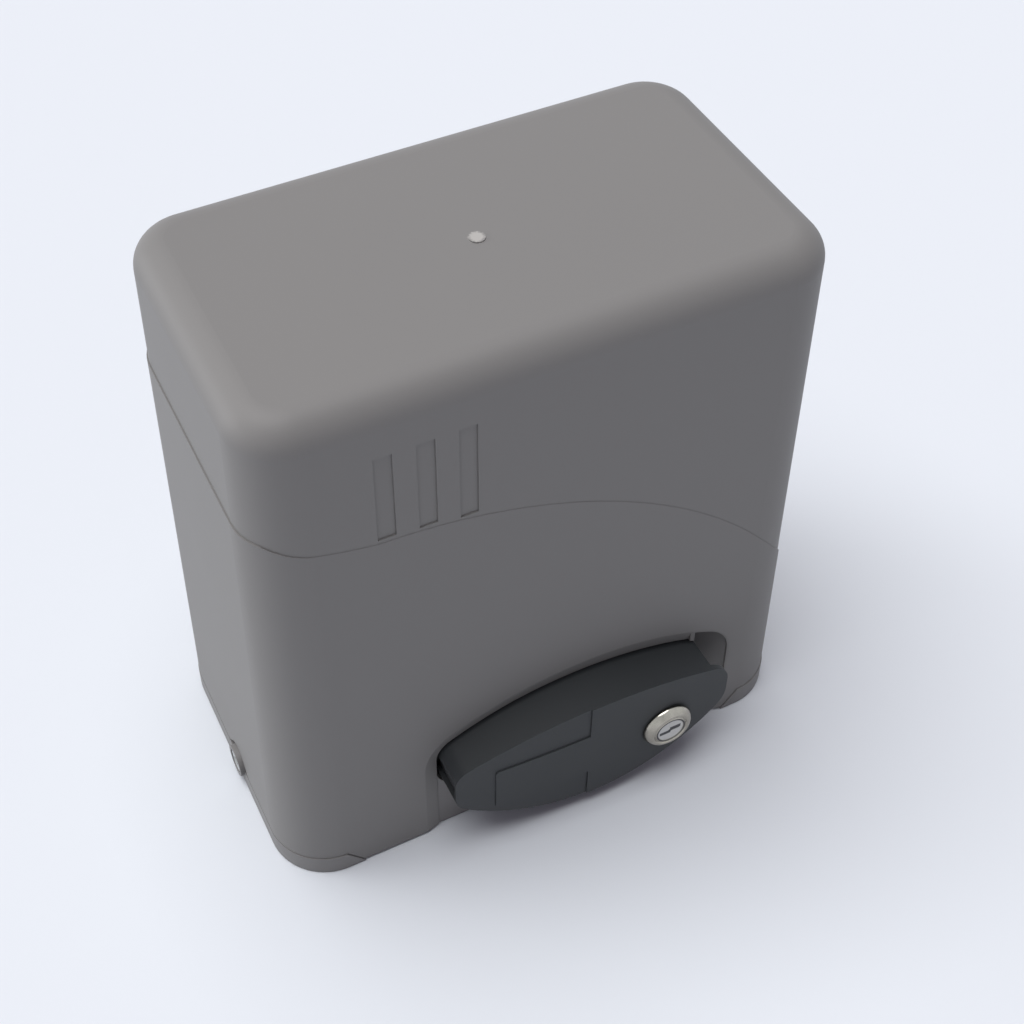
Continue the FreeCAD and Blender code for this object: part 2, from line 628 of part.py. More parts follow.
def clear_side_pockets(body):
    """Room for the cover's tongues and the screws' nuts, and the screws' bores and sunk heads."""
    for side in (1, -1):
        x0, x1 = sorted((side * (boss_inner_x() - 16), side * boss_inner_x()))
        body = body.cut(box(x0, x1, SIDE_SCREW_Y - 12, SIDE_SCREW_Y + 12, BASE_WEB, 40))
        bore_x = side * (boss_inner_x() - 2)
        bore = rod(SIDE_SCREW_R + 0.4, (bore_x, SIDE_SCREW_Y, SIDE_SCREW_Z), 20, AX_X * side)
        sink_x = side * (cover_half(0)[0] + SIDE_BOSS_OUT - 3)
        sink = rod(SIDE_BOSS_R - 2, (sink_x, SIDE_SCREW_Y, SIDE_SCREW_Z), 8, AX_X * side)
        body = body.cut(bore).cut(sink)
    return body


def make_side_screws():
    """The two screws that clamp the cover's tongues."""
    out = []
    for side in (1, -1):
        seat = cover_half(0)[0] + SIDE_BOSS_OUT - 3
        length = seat - boss_inner_x() + 9
        place = (side * seat, SIDE_SCREW_Y, SIDE_SCREW_Z)
        out.append(screw(SIDE_BOSS_R - 2.5, 2.6, SIDE_SCREW_R, length, place, AX_X * -side, 2.5))
    return group(out)


def make_side_nuts():
    """A hexagon nut behind each tongue."""
    out = []
    for side in (1, -1):
        x = side * (boss_inner_x() - 3 - 2 * SEAT_GAP)
        middle = V(x, SIDE_SCREW_Y, SIDE_SCREW_Z)
        nut = hexagon(middle, AX_X, 5.2).extrude(AX_X * (-5 * side))
        out.append(nut.cut(rod(SIDE_SCREW_R + 0.02, (x, SIDE_SCREW_Y, SIDE_SCREW_Z), 6, AX_X * -side)))
    return group(out)


def make_level_screws():
    """Four grub screws that level the base on its plate."""
    out = []
    for sx in (1, -1):
        for sy in (1, -1):
            body = rod(LEVEL_R - 0.05, (sx * LEVEL_X, sy * LEVEL_Y, 0.5), BASE_FLANGE_H + 6)
            socket = hexagon(V(sx * LEVEL_X, sy * LEVEL_Y, BASE_FLANGE_H + 2.5), AX_Z, 2.3)
            out.append(body.cut(socket.extrude(V(0, 0, 6))))
    return group(out)


def make_cable_gland():
    """The rubber sleeve in the cable entry."""
    z0, z1 = 2.0, BASE_FLANGE_H + 9
    profile = [V(GLAND_BORE_R, 0, z0), V(CABLE_R - 0.1, 0, z0), V(CABLE_R - 0.1, 0, BASE_FLANGE_H),
               V(CABLE_R + 3, 0, BASE_FLANGE_H), V(CABLE_R + 3, 0, BASE_FLANGE_H + 2.5),
               V(GLAND_BORE_R + 3, 0, z1), V(GLAND_BORE_R, 0, z1), V(GLAND_BORE_R, 0, z0)]
    body = Part.Face(Part.makePolygon(profile)).revolve(V(0, 0, 0), AX_Z, 360)
    body.translate(V(CABLE_X, CABLE_Y, 0))
    return body


# ---------------------------------------------------------------- gearbox
def box_feet():
    """Where the four bolts hold the gearbox to the base."""
    return [(x, y) for x in (WORM_X - 26, OUT_X + 42) for y in (WORM_Y - 26, WORM_Y + 40)]


def wheel_out_r():
    """Outside radius of the worm wheel."""
    return GEAR_MODULE * WHEEL_TEETH / 2 + 0.9 * GEAR_MODULE


def cover_screw_places():
    """The gear cover's screws, round its rim."""
    radius = wheel_out_r() + 5.4
    return [(OUT_X + radius * math.cos(math.radians(a)), OUT_Z + radius * math.sin(math.radians(a)))
            for a in (25, 65, 105, 150, 210, 245, 295, 335)]


def make_gear_housing():
    """The cast gearbox: a drum round the wheel, a tower round the worm, feet, and the rear plate."""
    drum_r = wheel_out_r() + 10
    z0 = BASE_FLANGE_H
    drum = rod(drum_r, (OUT_X, BOX_FRONT_Y, OUT_Z), BOX_BACK_Y - BOX_FRONT_Y, AX_Y)
    drum = drum.common(above(z0))
    tower = rod(24, (WORM_X, WORM_Y, z0), BOX_TOP_Z - z0)
    flange = rod(MOTOR_R, (WORM_X, WORM_Y, BOX_TOP_Z - 7), 7)
    feet_x0, feet_x1 = WORM_X - BOX_FOOT_LEFT, OUT_X + BOX_FOOT_RIGHT
    feet = rounded_prism((feet_x1 - feet_x0) / 2, 42, 9, z0, z0 + 7, (feet_x0 + feet_x1) / 2, WORM_Y + 7)
    webs = [box(WORM_X - 34, WORM_X, WORM_Y - 3, WORM_Y + 3, z0, BOX_TOP_Z - 3),
            box(OUT_X + 20, OUT_X + drum_r + 8, WORM_Y - 3, WORM_Y + 3, z0, OUT_Z)]
    webs = [web.cut(rod(wheel_out_r() + 4, (OUT_X, -60, OUT_Z), 120, AX_Y)) for web in webs]
    back_y = cover_half(0)[1] - 1.0
    rear = box(OUT_X - REAR_PLATE_HALF, OUT_X + REAR_PLATE_HALF, BOX_BACK_Y - 4, back_y, z0, REAR_PLATE_TOP_Z)
    rear = fillet_where(rear, 16, lambda c, e: along(e, AX_Y) and c.z > 50)
    boss = rod(SEAL_R + 6, (OUT_X, back_y - 1, OUT_Z), 4, AX_Y)
    body = fuse(drum, tower, flange, feet, *webs, rear, boss)
    chamber_y1 = WHEEL_Y0 + WHEEL_W + 3
    chamber_l = chamber_y1 - BOX_FRONT_Y + 1
    body = body.cut(rod(wheel_out_r() + 1.2, (OUT_X, BOX_FRONT_Y - 1, OUT_Z), chamber_l, AX_Y))
    body = body.cut(rod(WORM_PITCH_R + 4.2, (WORM_X, WORM_Y, WORM_Z0 - 8), WORM_Z1 - WORM_Z0 + 16))
    body = body.cut(rod(16, (WORM_X, WORM_Y, WORM_Z0 - 17), 12))
    body = body.cut(rod(MOTOR_SHAFT_R + 2, (WORM_X, WORM_Y, WORM_Z1), 60))
    body = body.cut(rod(SHAFT_R + 1.5, (OUT_X, 0, OUT_Z), 120, AX_Y))
    body = body.cut(rod(BEARING_OUT_R, (OUT_X, rear_bearing_y(), OUT_Z), BEARING_W, AX_Y))
    body = body.cut(rod(SEAL_R, (OUT_X, rear_bearing_y() + BEARING_W, OUT_Z), 60, AX_Y))
    for x, y in box_feet():
        body = body.cut(rod(3.4, (x, y, z0 - 1), 20))
    for x, z in cover_screw_places():
        body = body.cut(rod(2.0, (x, BOX_FRONT_Y - 6, z), 16, AX_Y))
    body = body.cut(rod(MOTOR_R + 0.6, (WORM_X, WORM_Y, BOX_TOP_Z), 60))
    for x, y in tie_places():
        body = body.cut(rod(2.15, (x, y, BOX_TOP_Z - 8), 20))
    return body.cut(rod(SNOUT_R + SEAT_GAP, (OUT_X, BOX_BACK_Y - 10, WAND_Z), 30, AX_Y))


def rear_bearing_y():
    """Where the rear output bearing starts."""
    return BOX_BACK_Y - BEARING_W - 4


def make_gear_cover():
    """The plate that closes the wheel chamber and carries the front bearing."""
    rim = wheel_out_r() + 10
    y0 = BOX_FRONT_Y - COVER_PLATE_T
    disc = rod(rim, (OUT_X, y0, OUT_Z), COVER_PLATE_T, AX_Y).common(above(BASE_FLANGE_H + 1))
    boss = rod(BEARING_OUT_R + 3, (OUT_X, y0 - 3, OUT_Z), 4, AX_Y)
    ribs = [turn_about(box(OUT_X + 20, OUT_X + rim - 12, y0 - 2, y0 + 1, OUT_Z - 1.5, OUT_Z + 1.5),
                       (OUT_X, 0, OUT_Z), AX_Y, 60 * i + 15) for i in range(6)]
    ribs = [r.common(above(BASE_FLANGE_H + 2)) for r in ribs]
    body = fuse(disc, boss, *ribs)
    body = body.cut(rod(BEARING_OUT_R - 3, (OUT_X, y0, OUT_Z), 40, AX_Y))
    body = body.cut(rod(SHAFT_R - 1, (OUT_X, y0 - 10, OUT_Z), 40, AX_Y))
    for x, z in cover_screw_places():
        body = body.cut(rod(2.6, (x, y0 - 5, z), 20, AX_Y))
    return body.cut(rod(MOTOR_R + SEAT_GAP, (WORM_X, WORM_Y, BOX_TOP_Z - 7 - SEAT_GAP), 60))


def make_gear_cover_screws():
    """Cap screws round the gear cover."""
    y0 = BOX_FRONT_Y - COVER_PLATE_T
    return group([screw(4.2, 3.6, 1.95, COVER_PLATE_T + 8, (x, y0, z), AX_Y, 2.0)
                  for x, z in cover_screw_places()])


def make_box_bolts():
    """The bolts that hold the gearbox down."""
    z = BASE_FLANGE_H + 7
    return group([screw(5.2, 4.5, 2.95, 10.5, (x, y, z), AX_Z * -1, 2.6) for x, y in box_feet()])


def bearing(outer, inner, start, width, axis):
    """A sealed ball bearing: two rings with a set-back shield between them."""
    body = ring(outer, inner, start, width, axis)
    mid = (outer + inner) / 2
    groove_w = (outer - inner) * 0.28
    for place in (V(*start), V(*start) + axis * (width - 0.8)):
        body = body.cut(ring(mid + groove_w, mid - groove_w, (place.x, place.y, place.z), 0.8, axis))
    return body


def shaft_front_y():
    """The output shaft's front end, in the front bearing."""
    return BOX_FRONT_Y - COVER_PLATE_T + 1


def make_output_shaft():
    """The output shaft: journals, a keyed end for the pinion, and a bore and slot for the release plunger."""
    y_front = shaft_front_y()
    y_end = cover_half(0)[1] + PINION_GAP + PINION_W - 2
    shoulder_y = BOX_FRONT_Y
    body = fuse(rod(SHAFT_R - 2.5, (OUT_X, y_front, OUT_Z), shoulder_y - y_front + 1, AX_Y),
                rod(SHAFT_R, (OUT_X, shoulder_y, OUT_Z), y_end - shoulder_y, AX_Y))
    body = body.cut(rod(PLUNGER_R + RUN_GAP, (OUT_X, y_front - 1, OUT_Z), WHEEL_Y0 + 4 - y_front, AX_Y))
    pin_y = clutch_pin_y()
    slot = box(OUT_X - 30, OUT_X + 30, pin_y - CLUTCH_TRAVEL - 3.2, pin_y + 3.2, OUT_Z - 3.2, OUT_Z + 3.2)
    body = body.cut(slot)
    key_y0 = cover_half(0)[1] + PINION_GAP + 3
    body = body.cut(box(OUT_X - 4, OUT_X + 4, key_y0, y_end + 1, OUT_Z + SHAFT_R - 4, OUT_Z + SHAFT_R + 5))
    return body.cut(rod(4, (OUT_X, y_end - 18, OUT_Z), 20, AX_Y))


def gear_blank(teeth, module, tip_r, root_r, half_pitch, slope, y0, width, twist, phase):
    """A toothed prism about the output axis with tapered teeth."""
    def outline(y, turn):
        points = []
        pitch_r = teeth * module / 2
        for i in range(teeth):
            middle = math.radians(360.0 * i / teeth + phase) + turn
            for side, radius in ((-1, root_r), (-1, tip_r), (1, tip_r), (1, root_r)):
                half = half_pitch - (radius - pitch_r) * slope
                angle = middle + side * half / radius
                points.append(V(OUT_X + radius * math.cos(angle), y, OUT_Z + radius * math.sin(angle)))
        return Part.makePolygon(points + [points[0]])
    if twist:
        return Part.makeLoft([outline(y0, -twist / 2), outline(y0 + width, twist / 2)], True, True)
    return Part.Face(outline(y0, 0)).extrude(V(0, width, 0))


def make_worm_wheel():
    """The bronze wheel: slanted teeth on a rim, a web and a hub with sockets for the clutch."""
    lead_angle = math.atan(GEAR_MODULE / (2 * WORM_PITCH_R))
    twist = WHEEL_W * math.tan(lead_angle) / (GEAR_MODULE * WHEEL_TEETH / 2)
    body = gear_blank(WHEEL_TEETH, GEAR_MODULE, wheel_out_r(), wheel_out_r() - 5.0, TOOTH_HALF, 0.36,
                      WHEEL_Y0, WHEEL_W, WHEEL_TWIST_SIGN * twist, 180.0)
    web = ring(wheel_out_r() - 8, CLUTCH_R + 3, (OUT_X, WHEEL_Y0 - 1, OUT_Z), 5, AX_Y)
    body = body.cut(web)
    web.translate(V(0, WHEEL_W - 3, 0))
    body = body.cut(web)
    body = body.cut(rod(SHAFT_R + RUN_GAP, (OUT_X, WHEEL_Y0 - 1, OUT_Z), WHEEL_W + 2, AX_Y))
    return body.cut(dogs(MESH_GAP, WHEEL_Y0 - 1, DOG_H + 1 + MESH_GAP))


def dogs(grow, y0, length):
    """The clutch's driving dogs."""
    out = []
    for i in range(CLUTCH_DOGS):
        block = box(OUT_X + SHAFT_R + 1.6 - grow, OUT_X + CLUTCH_R - 1 + grow, y0, y0 + length,
                    OUT_Z - 4 - grow, OUT_Z + 4 + grow)
        out.append(turn_about(block, (OUT_X, 0, OUT_Z), AX_Y, 360.0 / CLUTCH_DOGS * i + 45))
    return group(out)


def clutch_y():
    """Rear face of the clutch ring is just in front of the wheel."""
    return WHEEL_Y0 - MESH_GAP - CLUTCH_L


def clutch_pin_y():
    """Where the cross pin goes through the clutch ring."""
    return clutch_y() + CLUTCH_L * 0.65


def make_clutch_ring():
    """The sliding ring with its dogs, and a groove round it."""
    body = ring(CLUTCH_R, SHAFT_R + RUN_GAP, (OUT_X, clutch_y(), OUT_Z), CLUTCH_L, AX_Y)
    body = body.cut(ring(CLUTCH_R + 1, CLUTCH_R - 2, (OUT_X, clutch_y() + 3, OUT_Z), 2.5, AX_Y))
    for dog in dogs(0, clutch_y() + CLUTCH_L - 0.5, DOG_H + 0.5).Solids:
        body = body.fuse(dog)
    pin_y = clutch_pin_y()
    return body.removeSplitter().cut(rod(2.5, (OUT_X - 30, pin_y, OUT_Z), 60, AX_X))


def make_clutch_pin():
    """The cross pin through the shaft's slot."""
    pin_y = clutch_pin_y()
    return rod(2.5, (OUT_X - CLUTCH_R + 2.4, pin_y, OUT_Z), 2 * CLUTCH_R - 4.8, AX_X)


def plunger_head_y():
    """Front face of the release plunger's head, just behind the handle's pad."""
    return HANDLE_PAD_Y + SEAT_GAP


def make_plunger():
    """The release plunger: a rod in the shaft's bore with a broad head that the handle pushes."""
    pin_y = clutch_pin_y()
    head = rod(PLUNGER_HEAD_R, (OUT_X, plunger_head_y(), OUT_Z), PLUNGER_HEAD_T, AX_Y)
    stem = rod(PLUNGER_R, (OUT_X, plunger_head_y(), OUT_Z), pin_y + 4 - plunger_head_y(), AX_Y)
    return fuse(head, stem).cut(rod(2.5, (OUT_X - 10, pin_y, OUT_Z), 20, AX_X))


def make_plunger_spring():
    """The coil spring round the plunger that pushes it out, of flattened wire."""
    y0 = plunger_head_y() + PLUNGER_HEAD_T + SEAT_GAP
    y1 = shaft_front_y() - SEAT_GAP
    turns = (y1 - y0 - 2 * SPRING_WIRE_R) / SPRING_PITCH
    inner = PLUNGER_R + SEAT_GAP
    coil = helix_sweep(inner, inner + 2 * SPRING_WIRE_R, SPRING_WIRE_R, SPRING_WIRE_R, SPRING_PITCH, turns)
    coil = turn_about(coil, (0, 0, 0), AX_X, -90)
    coil.translate(V(OUT_X, y0 + SPRING_WIRE_R, OUT_Z))
    return coil


def helix_sweep(inner, outer, half_in, half_out, pitch, turns):
    """A right-hand thread about Z: a four-sided section carried round a helix."""
    helix = Part.makeHelix(pitch, turns * pitch, inner)
    corners = [(inner, -half_in), (outer, -half_out), (outer, half_out), (inner, half_in), (inner, -half_in)]
    sweep = Part.BRepOffsetAPI.MakePipeShell(Part.Wire(helix.Edges))
    sweep.setFrenetMode(True)
    sweep.add(Part.makePolygon([V(x, 0, z) for x, z in corners]))
    sweep.build()
    sweep.makeSolid()
    return sweep.shape()


def make_pinion():
    """The rack pinion, module 4, outside the back."""
    pitch_r = PINION_MODULE * PINION_TEETH / 2
    y0 = cover_half(0)[1] + PINION_GAP
    body = gear_blank(PINION_TEETH, PINION_MODULE, pitch_r + PINION_MODULE, pitch_r - 1.25 * PINION_MODULE,
                      PINION_MODULE * math.pi / 4 - 0.1, 0.34, y0, PINION_W, 0, 90.0)
    body = body.cut(rod(SHAFT_R + 0.02, (OUT_X, y0 - 1, OUT_Z), PINION_W + 2, AX_Y))
    return body.cut(box(OUT_X - 4.02, OUT_X + 4.02, y0 - 1, y0 + PINION_W + 1, OUT_Z, OUT_Z + SHAFT_R + 3.6))


def make_pinion_key():
    """The parallel key between the shaft and the pinion."""
    y0 = cover_half(0)[1] + PINION_GAP + 3.2
    y1 = y0 + PINION_W - 6
    return box(OUT_X - 3.98, OUT_X + 3.98, y0, y1, OUT_Z + SHAFT_R - 3.9, OUT_Z + SHAFT_R + 3.5)


def make_pinion_washer():
    """The thick washer that keeps the pinion on."""
    y0 = cover_half(0)[1] + PINION_GAP + PINION_W + SEAT_GAP * 0.5
    return ring(SHAFT_R + 6, 4.2, (OUT_X, y0, OUT_Z), 4, AX_Y)


def make_pinion_bolt():
    """The bolt in the end of the shaft."""
    y0 = cover_half(0)[1] + PINION_GAP + PINION_W + SEAT_GAP * 0.5 + 4
    return screw(6.5, 5.5, 3.95, 18, (OUT_X, y0, OUT_Z), AX_Y * -1, 3.4)


# ---------------------------------------------------------------- motor
def bell_z():
    """Heights of the motor's joints, from the gearbox flange up."""
    z0 = BOX_TOP_Z
    z1 = z0 + BELL_LOW_H
    z2 = z1 + STACK_H
    return z0, z1, z2, z2 + BELL_HIGH_H


def make_low_bell():
    """The motor's lower end bell, a cup on the gearbox flange."""
    z0, z1, _, _ = bell_z()
    body = rod(MOTOR_R, (WORM_X, WORM_Y, z0), z1 - z0)
    body = body.cut(rod(MOTOR_R - 5, (WORM_X, WORM_Y, z0 + 5), 40))
    body = body.fuse(rod(22, (WORM_X, WORM_Y, z0), 12))
    body = body.cut(rod(17.5 + 0.03, (WORM_X, WORM_Y, z0 - 1), 12))
    body = body.cut(rod(MOTOR_SHAFT_R + 1.5, (WORM_X, WORM_Y, z0), 40))
    return cut_tie_holes(body, z0, z1)


def tie_places():
    """Where the four long tie bolts run."""
    radius = MOTOR_R - 5.5
    return [(WORM_X + radius * math.cos(math.radians(a)), WORM_Y + radius * math.sin(math.radians(a)))
            for a in (45, 135, 225, 315)]


def cut_tie_holes(body, z0, z1):
    """Round pads for the tie bolts, then their holes."""
    for x, y in tie_places():
        pad = rod(5.4, (x, y, z0), z1 - z0)
        body = body.fuse(pad.common(rod(MOTOR_R, (WORM_X, WORM_Y, z0), z1 - z0)))
    for x, y in tie_places():
        body = body.cut(rod(2.2, (x, y, z0 - 1), z1 - z0 + 2))
    return body


def make_stator():
    """The stack of stator laminations, with slots round its bore."""
    _, z1, z2, _ = bell_z()
    body = ring(MOTOR_R, ROTOR_R + AIR_GAP, (WORM_X, WORM_Y, z1), z2 - z1)
    slot = box(WORM_X + ROTOR_R + 2, WORM_X + MOTOR_R - 13, WORM_Y - 2.6, WORM_Y + 2.6, z1 - 1, z2 + 1)
    for i in range(12):
        body = body.cut(turn_about(slot, (WORM_X, WORM_Y, 0), AX_Z, 30 * i))
    for x, y in tie_places():
        body = body.cut(rod(2.2, (x, y, z1 - 1), z2 - z1 + 2))
    return body


def make_windings():
    """The copper coil heads above and below the stack."""
    _, z1, z2, _ = bell_z()
    out = []
    for z in (z1 - 12, z2):
        head = ring(MOTOR_R - 11.5, ROTOR_R + 3, (WORM_X, WORM_Y, z), 12)
        out.append(fillet_where(head, 3, lambda c, e: e.Curve.TypeId == "Part::GeomCircle"))
    return group(out)


def make_high_bell():
    """The motor's upper end bell, with air slots."""
    _, _, z2, z3 = bell_z()
    body = rod(MOTOR_R, (WORM_X, WORM_Y, z2), z3 - z2)
    body = fillet_where(body, 5, lambda c, e: abs(c.z - z3) < 0.01 and e.Curve.TypeId == "Part::GeomCircle")
    body = body.cut(rod(MOTOR_R - 5, (WORM_X, WORM_Y, z2 - 1), z3 - z2 - 4))
    body = body.fuse(rod(18, (WORM_X, WORM_Y, z3 - 14), 14))
    body = body.cut(rod(13 + 0.03, (WORM_X, WORM_Y, z3 - 15), 11))
    body = cut_tie_holes(body, z2, z3)
    slot = box(WORM_X + 26, WORM_X + MOTOR_R - 11, WORM_Y - 2.5, WORM_Y + 2.5, z3 - 8, z3 + 2)
    for i in range(12):
        body = body.cut(turn_about(slot, (WORM_X, WORM_Y, 0), AX_Z, 30 * i))
    return body


def make_tie_bolts():
    """The four bolts that clamp the motor to the gearbox flange."""
    z0, _, _, z3 = bell_z()
    return group([screw(4.2, 3.5, 2.1, z3 - z0 + 4, (x, y, z3), AX_Z * -1, 2.0) for x, y in tie_places()])


def make_rotor():
    """The laminated rotor with its end rings."""
    _, z1, z2, _ = bell_z()
    core = ring(ROTOR_R, MOTOR_SHAFT_R + 0.02, (WORM_X, WORM_Y, z1 + 1), z2 - z1 - 2)
    rings = [ring(ROTOR_R - 3, ROTOR_R - 9, (WORM_X, WORM_Y, z), 5) for z in (z1 - 4, z2 - 1)]
    return fuse(core, *rings)


def make_worm_shaft():
    """The motor shaft with the worm's thread cut on its lower part."""
    _, _, _, z3 = bell_z()
    root_r = WORM_PITCH_R - 2.8
    core = rod(root_r, (WORM_X, WORM_Y, WORM_Z0), WORM_Z1 - WORM_Z0)
    low = rod(MOTOR_SHAFT_R, (WORM_X, WORM_Y, WORM_Z0 - 16), WORM_Z0 - (WORM_Z0 - 16) + 1)
    high = rod(MOTOR_SHAFT_R, (WORM_X, WORM_Y, WORM_Z1 - 1), BOX_TOP_Z + BELL_LOW_H + STACK_H + 8 - WORM_Z1)
    tail = rod(5.0, (WORM_X, WORM_Y, z3 - 20), 14)
    lead = math.pi * GEAR_MODULE
    turns = 4.0
    start_z = OUT_Z - turns * lead / 2
    out_r = WORM_PITCH_R + 2.0
    sunk_r = root_r - 0.6
    slope = math.tan(math.radians(20))
    half_root = THREAD_HALF + (WORM_PITCH_R - sunk_r) * slope
    half_tip = THREAD_HALF - (out_r - WORM_PITCH_R) * slope
    thread = helix_sweep(sunk_r, out_r, half_root, half_tip, lead, turns)
    thread.translate(V(WORM_X, WORM_Y, start_z))
    thread = turn_about(thread, (WORM_X, WORM_Y, 0), AX_Z, 180.0)
    return core.fuse(thread).fuse(low).fuse(high).fuse(tail)


def make_fan():
    """The small cooling fan on the shaft's upper end, under the end bell."""
    _, _, z2, _ = bell_z()
    z = z2 + 4.6
    hub = ring(MOTOR_SHAFT_R + 4, MOTOR_SHAFT_R + 0.02, (WORM_X, WORM_Y, z), 4.5)
    x0, x1 = WORM_X + MOTOR_SHAFT_R + 3, WORM_X + ROTOR_R - 1
    blade = box(x0, x1, WORM_Y - 0.7, WORM_Y + 0.7, z, z + 4.5)
    blades = [turn_about(blade, (WORM_X, WORM_Y, 0), AX_Z, 45 * i) for i in range(8)]
    return fuse(hub, *blades)


# ---------------------------------------------------------------- release handle
def plate_front(grow=0.0):
    """The round bar whose side is the face plate's bowed front."""
    return rod(HANDLE_BOW_R + grow, (HANDLE_X, PLATE_Y + HANDLE_BOW_R, -20), 140)


def make_handle():
    """The release handle: bowed face plate, hollow neck, knuckles, a pad for the plunger and a lock boss."""
    back = PLATE_Y + PLATE_T
    plate = lens(HANDLE_LEFT_X, HANDLE_RIGHT_X, 0, PLATE_Y - 1, back, HANDLE_LEFT_R, HANDLE_RIGHT_R)
    plate = plate.common(plate_front())
    neck = lens(HANDLE_LEFT_X, NECK_RIGHT_X, 0, back - 1, NECK_BACK_Y, HANDLE_LEFT_R, 0)
    hollow = lens(HANDLE_LEFT_X, NECK_RIGHT_X, -NECK_WALL, back, NECK_BACK_Y + 1, HANDLE_LEFT_R, 0)
    neck = neck.cut(hollow)
    knuckles = box(HANDLE_LEFT_X + 1.5, HINGE_X + 7, back - 1, HINGE_Y + 7, HINGE_Z - 12.5, HINGE_Z + 12.5)
    inside = lens(HANDLE_LEFT_X, NECK_RIGHT_X, -0.5, back - 2, NECK_BACK_Y, HANDLE_LEFT_R, 0)
    knuckles = knuckles.common(inside)
    pad = rod(PLUNGER_HEAD_R, (OUT_X, back - 1, OUT_Z), HANDLE_PAD_Y - back + 1, AX_Y)
    lock_boss = rod(LOCK_BARREL_R + 3, (LOCK_X, back - 1, LOCK_Z), 9, AX_Y)
    ribs = [box(x - 1.2, x + 1.2, back - 1, back + 8, HANDLE_BOTTOM_Z + 2, HANDLE_TOP_Z - 4)
            for x in (HANDLE_X - 35, HANDLE_X + 19)]
    shell = lens(HANDLE_LEFT_X, NECK_RIGHT_X, -1, back - 2, NECK_BACK_Y, HANDLE_LEFT_R, 0)
    ribs = [r.common(shell) for r in ribs]
    body = fuse(plate, neck, knuckles, pad, lock_boss, *ribs)
    gap_half = HINGE_LUG_H / 2 + SEAT_GAP
    lug_gap = box(HANDLE_LEFT_X - 5, HINGE_X + HINGE_LUG_R + 1.0, HINGE_Y - HINGE_LUG_R - SEAT_GAP,
                  NECK_BACK_Y + 5, HINGE_Z - gap_half, HINGE_Z + gap_half)
    body = body.cut(lug_gap)
    body = body.cut(rod(HINGE_PIN_R, (HINGE_X, HINGE_Y, HINGE_Z - HINGE_PIN_L / 2), HINGE_PIN_L))
    body = body.cut(rod(LOCK_BARREL_R, (LOCK_X, PLATE_Y - 5, LOCK_Z), 40, AX_Y))
    return cut_face_fields(body)


def cut_face_fields(body):
    """Lower the face left of the seam, except for the blank raised field."""
    z0, z1 = HANDLE_BOTTOM_Z - 3, HANDLE_TOP_Z + 3
    step = box(HANDLE_LEFT_X - 2, FACE_SEAM_X, PLATE_Y - 3, PLATE_Y + 4, z0, z1)
    step = step.cut(plate_front(-FACE_STEP))
    pad = box(PAD_LEFT_X, FACE_SEAM_X + 5, PLATE_Y - 5, PLATE_Y + 6, PAD_BOTTOM_Z, PAD_TOP_Z)
    pad = fillet_where(pad, PAD_R, lambda c, e: along(e, AX_Y) and c.x < 0)
    return body.cut(step.cut(pad))


def make_hinge_pin():
    """The steel pin that the handle swings on."""
    return rod(HINGE_PIN_R, (HINGE_X, HINGE_Y, HINGE_Z - HINGE_PIN_L / 2), HINGE_PIN_L)


def make_hinge_bracket():
    """The fixed post and lug that reach out of the cover to the hinge pin."""
    z0, z1 = HINGE_Z - HINGE_LUG_H / 2, HINGE_Z + HINGE_LUG_H / 2
    post_y0, post_y1 = HINGE_Y + HINGE_REACH, HINGE_Y + HINGE_REACH + 9
    post = box(HINGE_X - 10, HINGE_X + 16, post_y0, post_y1, BASE_FLANGE_H, z1)
    foot = rounded_prism(16, 9, 3, BASE_FLANGE_H, BASE_FLANGE_H + 5, HINGE_X + 3, post_y0 + 9)
    rib = box(HINGE_X - 2, HINGE_X + 2, post_y1 - 1, post_y1 + 7, BASE_FLANGE_H, 34)
    arm = box(HINGE_X - HINGE_LUG_R, HINGE_X + HINGE_LUG_R, HINGE_Y, post_y0 + 1, z0, z1)
    eye = rod(HINGE_LUG_R, (HINGE_X, HINGE_Y, z0), HINGE_LUG_H)
    body = fuse(post, foot, rib, arm, eye)
    body = body.cut(rod(HINGE_PIN_R + RUN_GAP, (HINGE_X, HINGE_Y, z0 - 1), HINGE_LUG_H + 2))
    for dx in (-6.5, 12.5):
        body = body.cut(rod(2.1, (HINGE_X + dx, post_y0 + 13, 0), 40))
    return body


def make_strike_bracket():
    """The steel angle behind the lock: its slot lets the cam through and holds it when turned."""
    y0 = LOCK_BACK_Y - 3.0
    x0, x1 = LOCK_X - 25, LOCK_X + 21
    wall = box(x0, x1, y0, y0 + 2.5, BASE_FLANGE_H, LOCK_Z + LOCK_CAM_L + 12)
    foot = box(x0, x1, y0, y0 + 16, BASE_FLANGE_H, BASE_FLANGE_H + 2.5)
    body = fuse(wall, foot)
    body = fillet_where(body, 6, lambda c, e: along(e, AX_Y) and c.z > LOCK_Z + LOCK_CAM_L + 8)
    hole = rod(LOCK_BARREL_R + 4.5, (LOCK_X, y0 - 5, LOCK_Z), 20, AX_Y)
    slot = box(LOCK_X - LOCK_CAM_W / 2 - 3, LOCK_X + LOCK_CAM_W / 2 + 6, y0 - 5, y0 + 5,
               LOCK_Z - 8, LOCK_Z + LOCK_CAM_L + 6)
    body = body.cut(hole).cut(slot)
    for dx in (-16, 16):
        body = body.cut(rod(2.1, (LOCK_X + dx, y0 + 10, 0), 30))
    return body


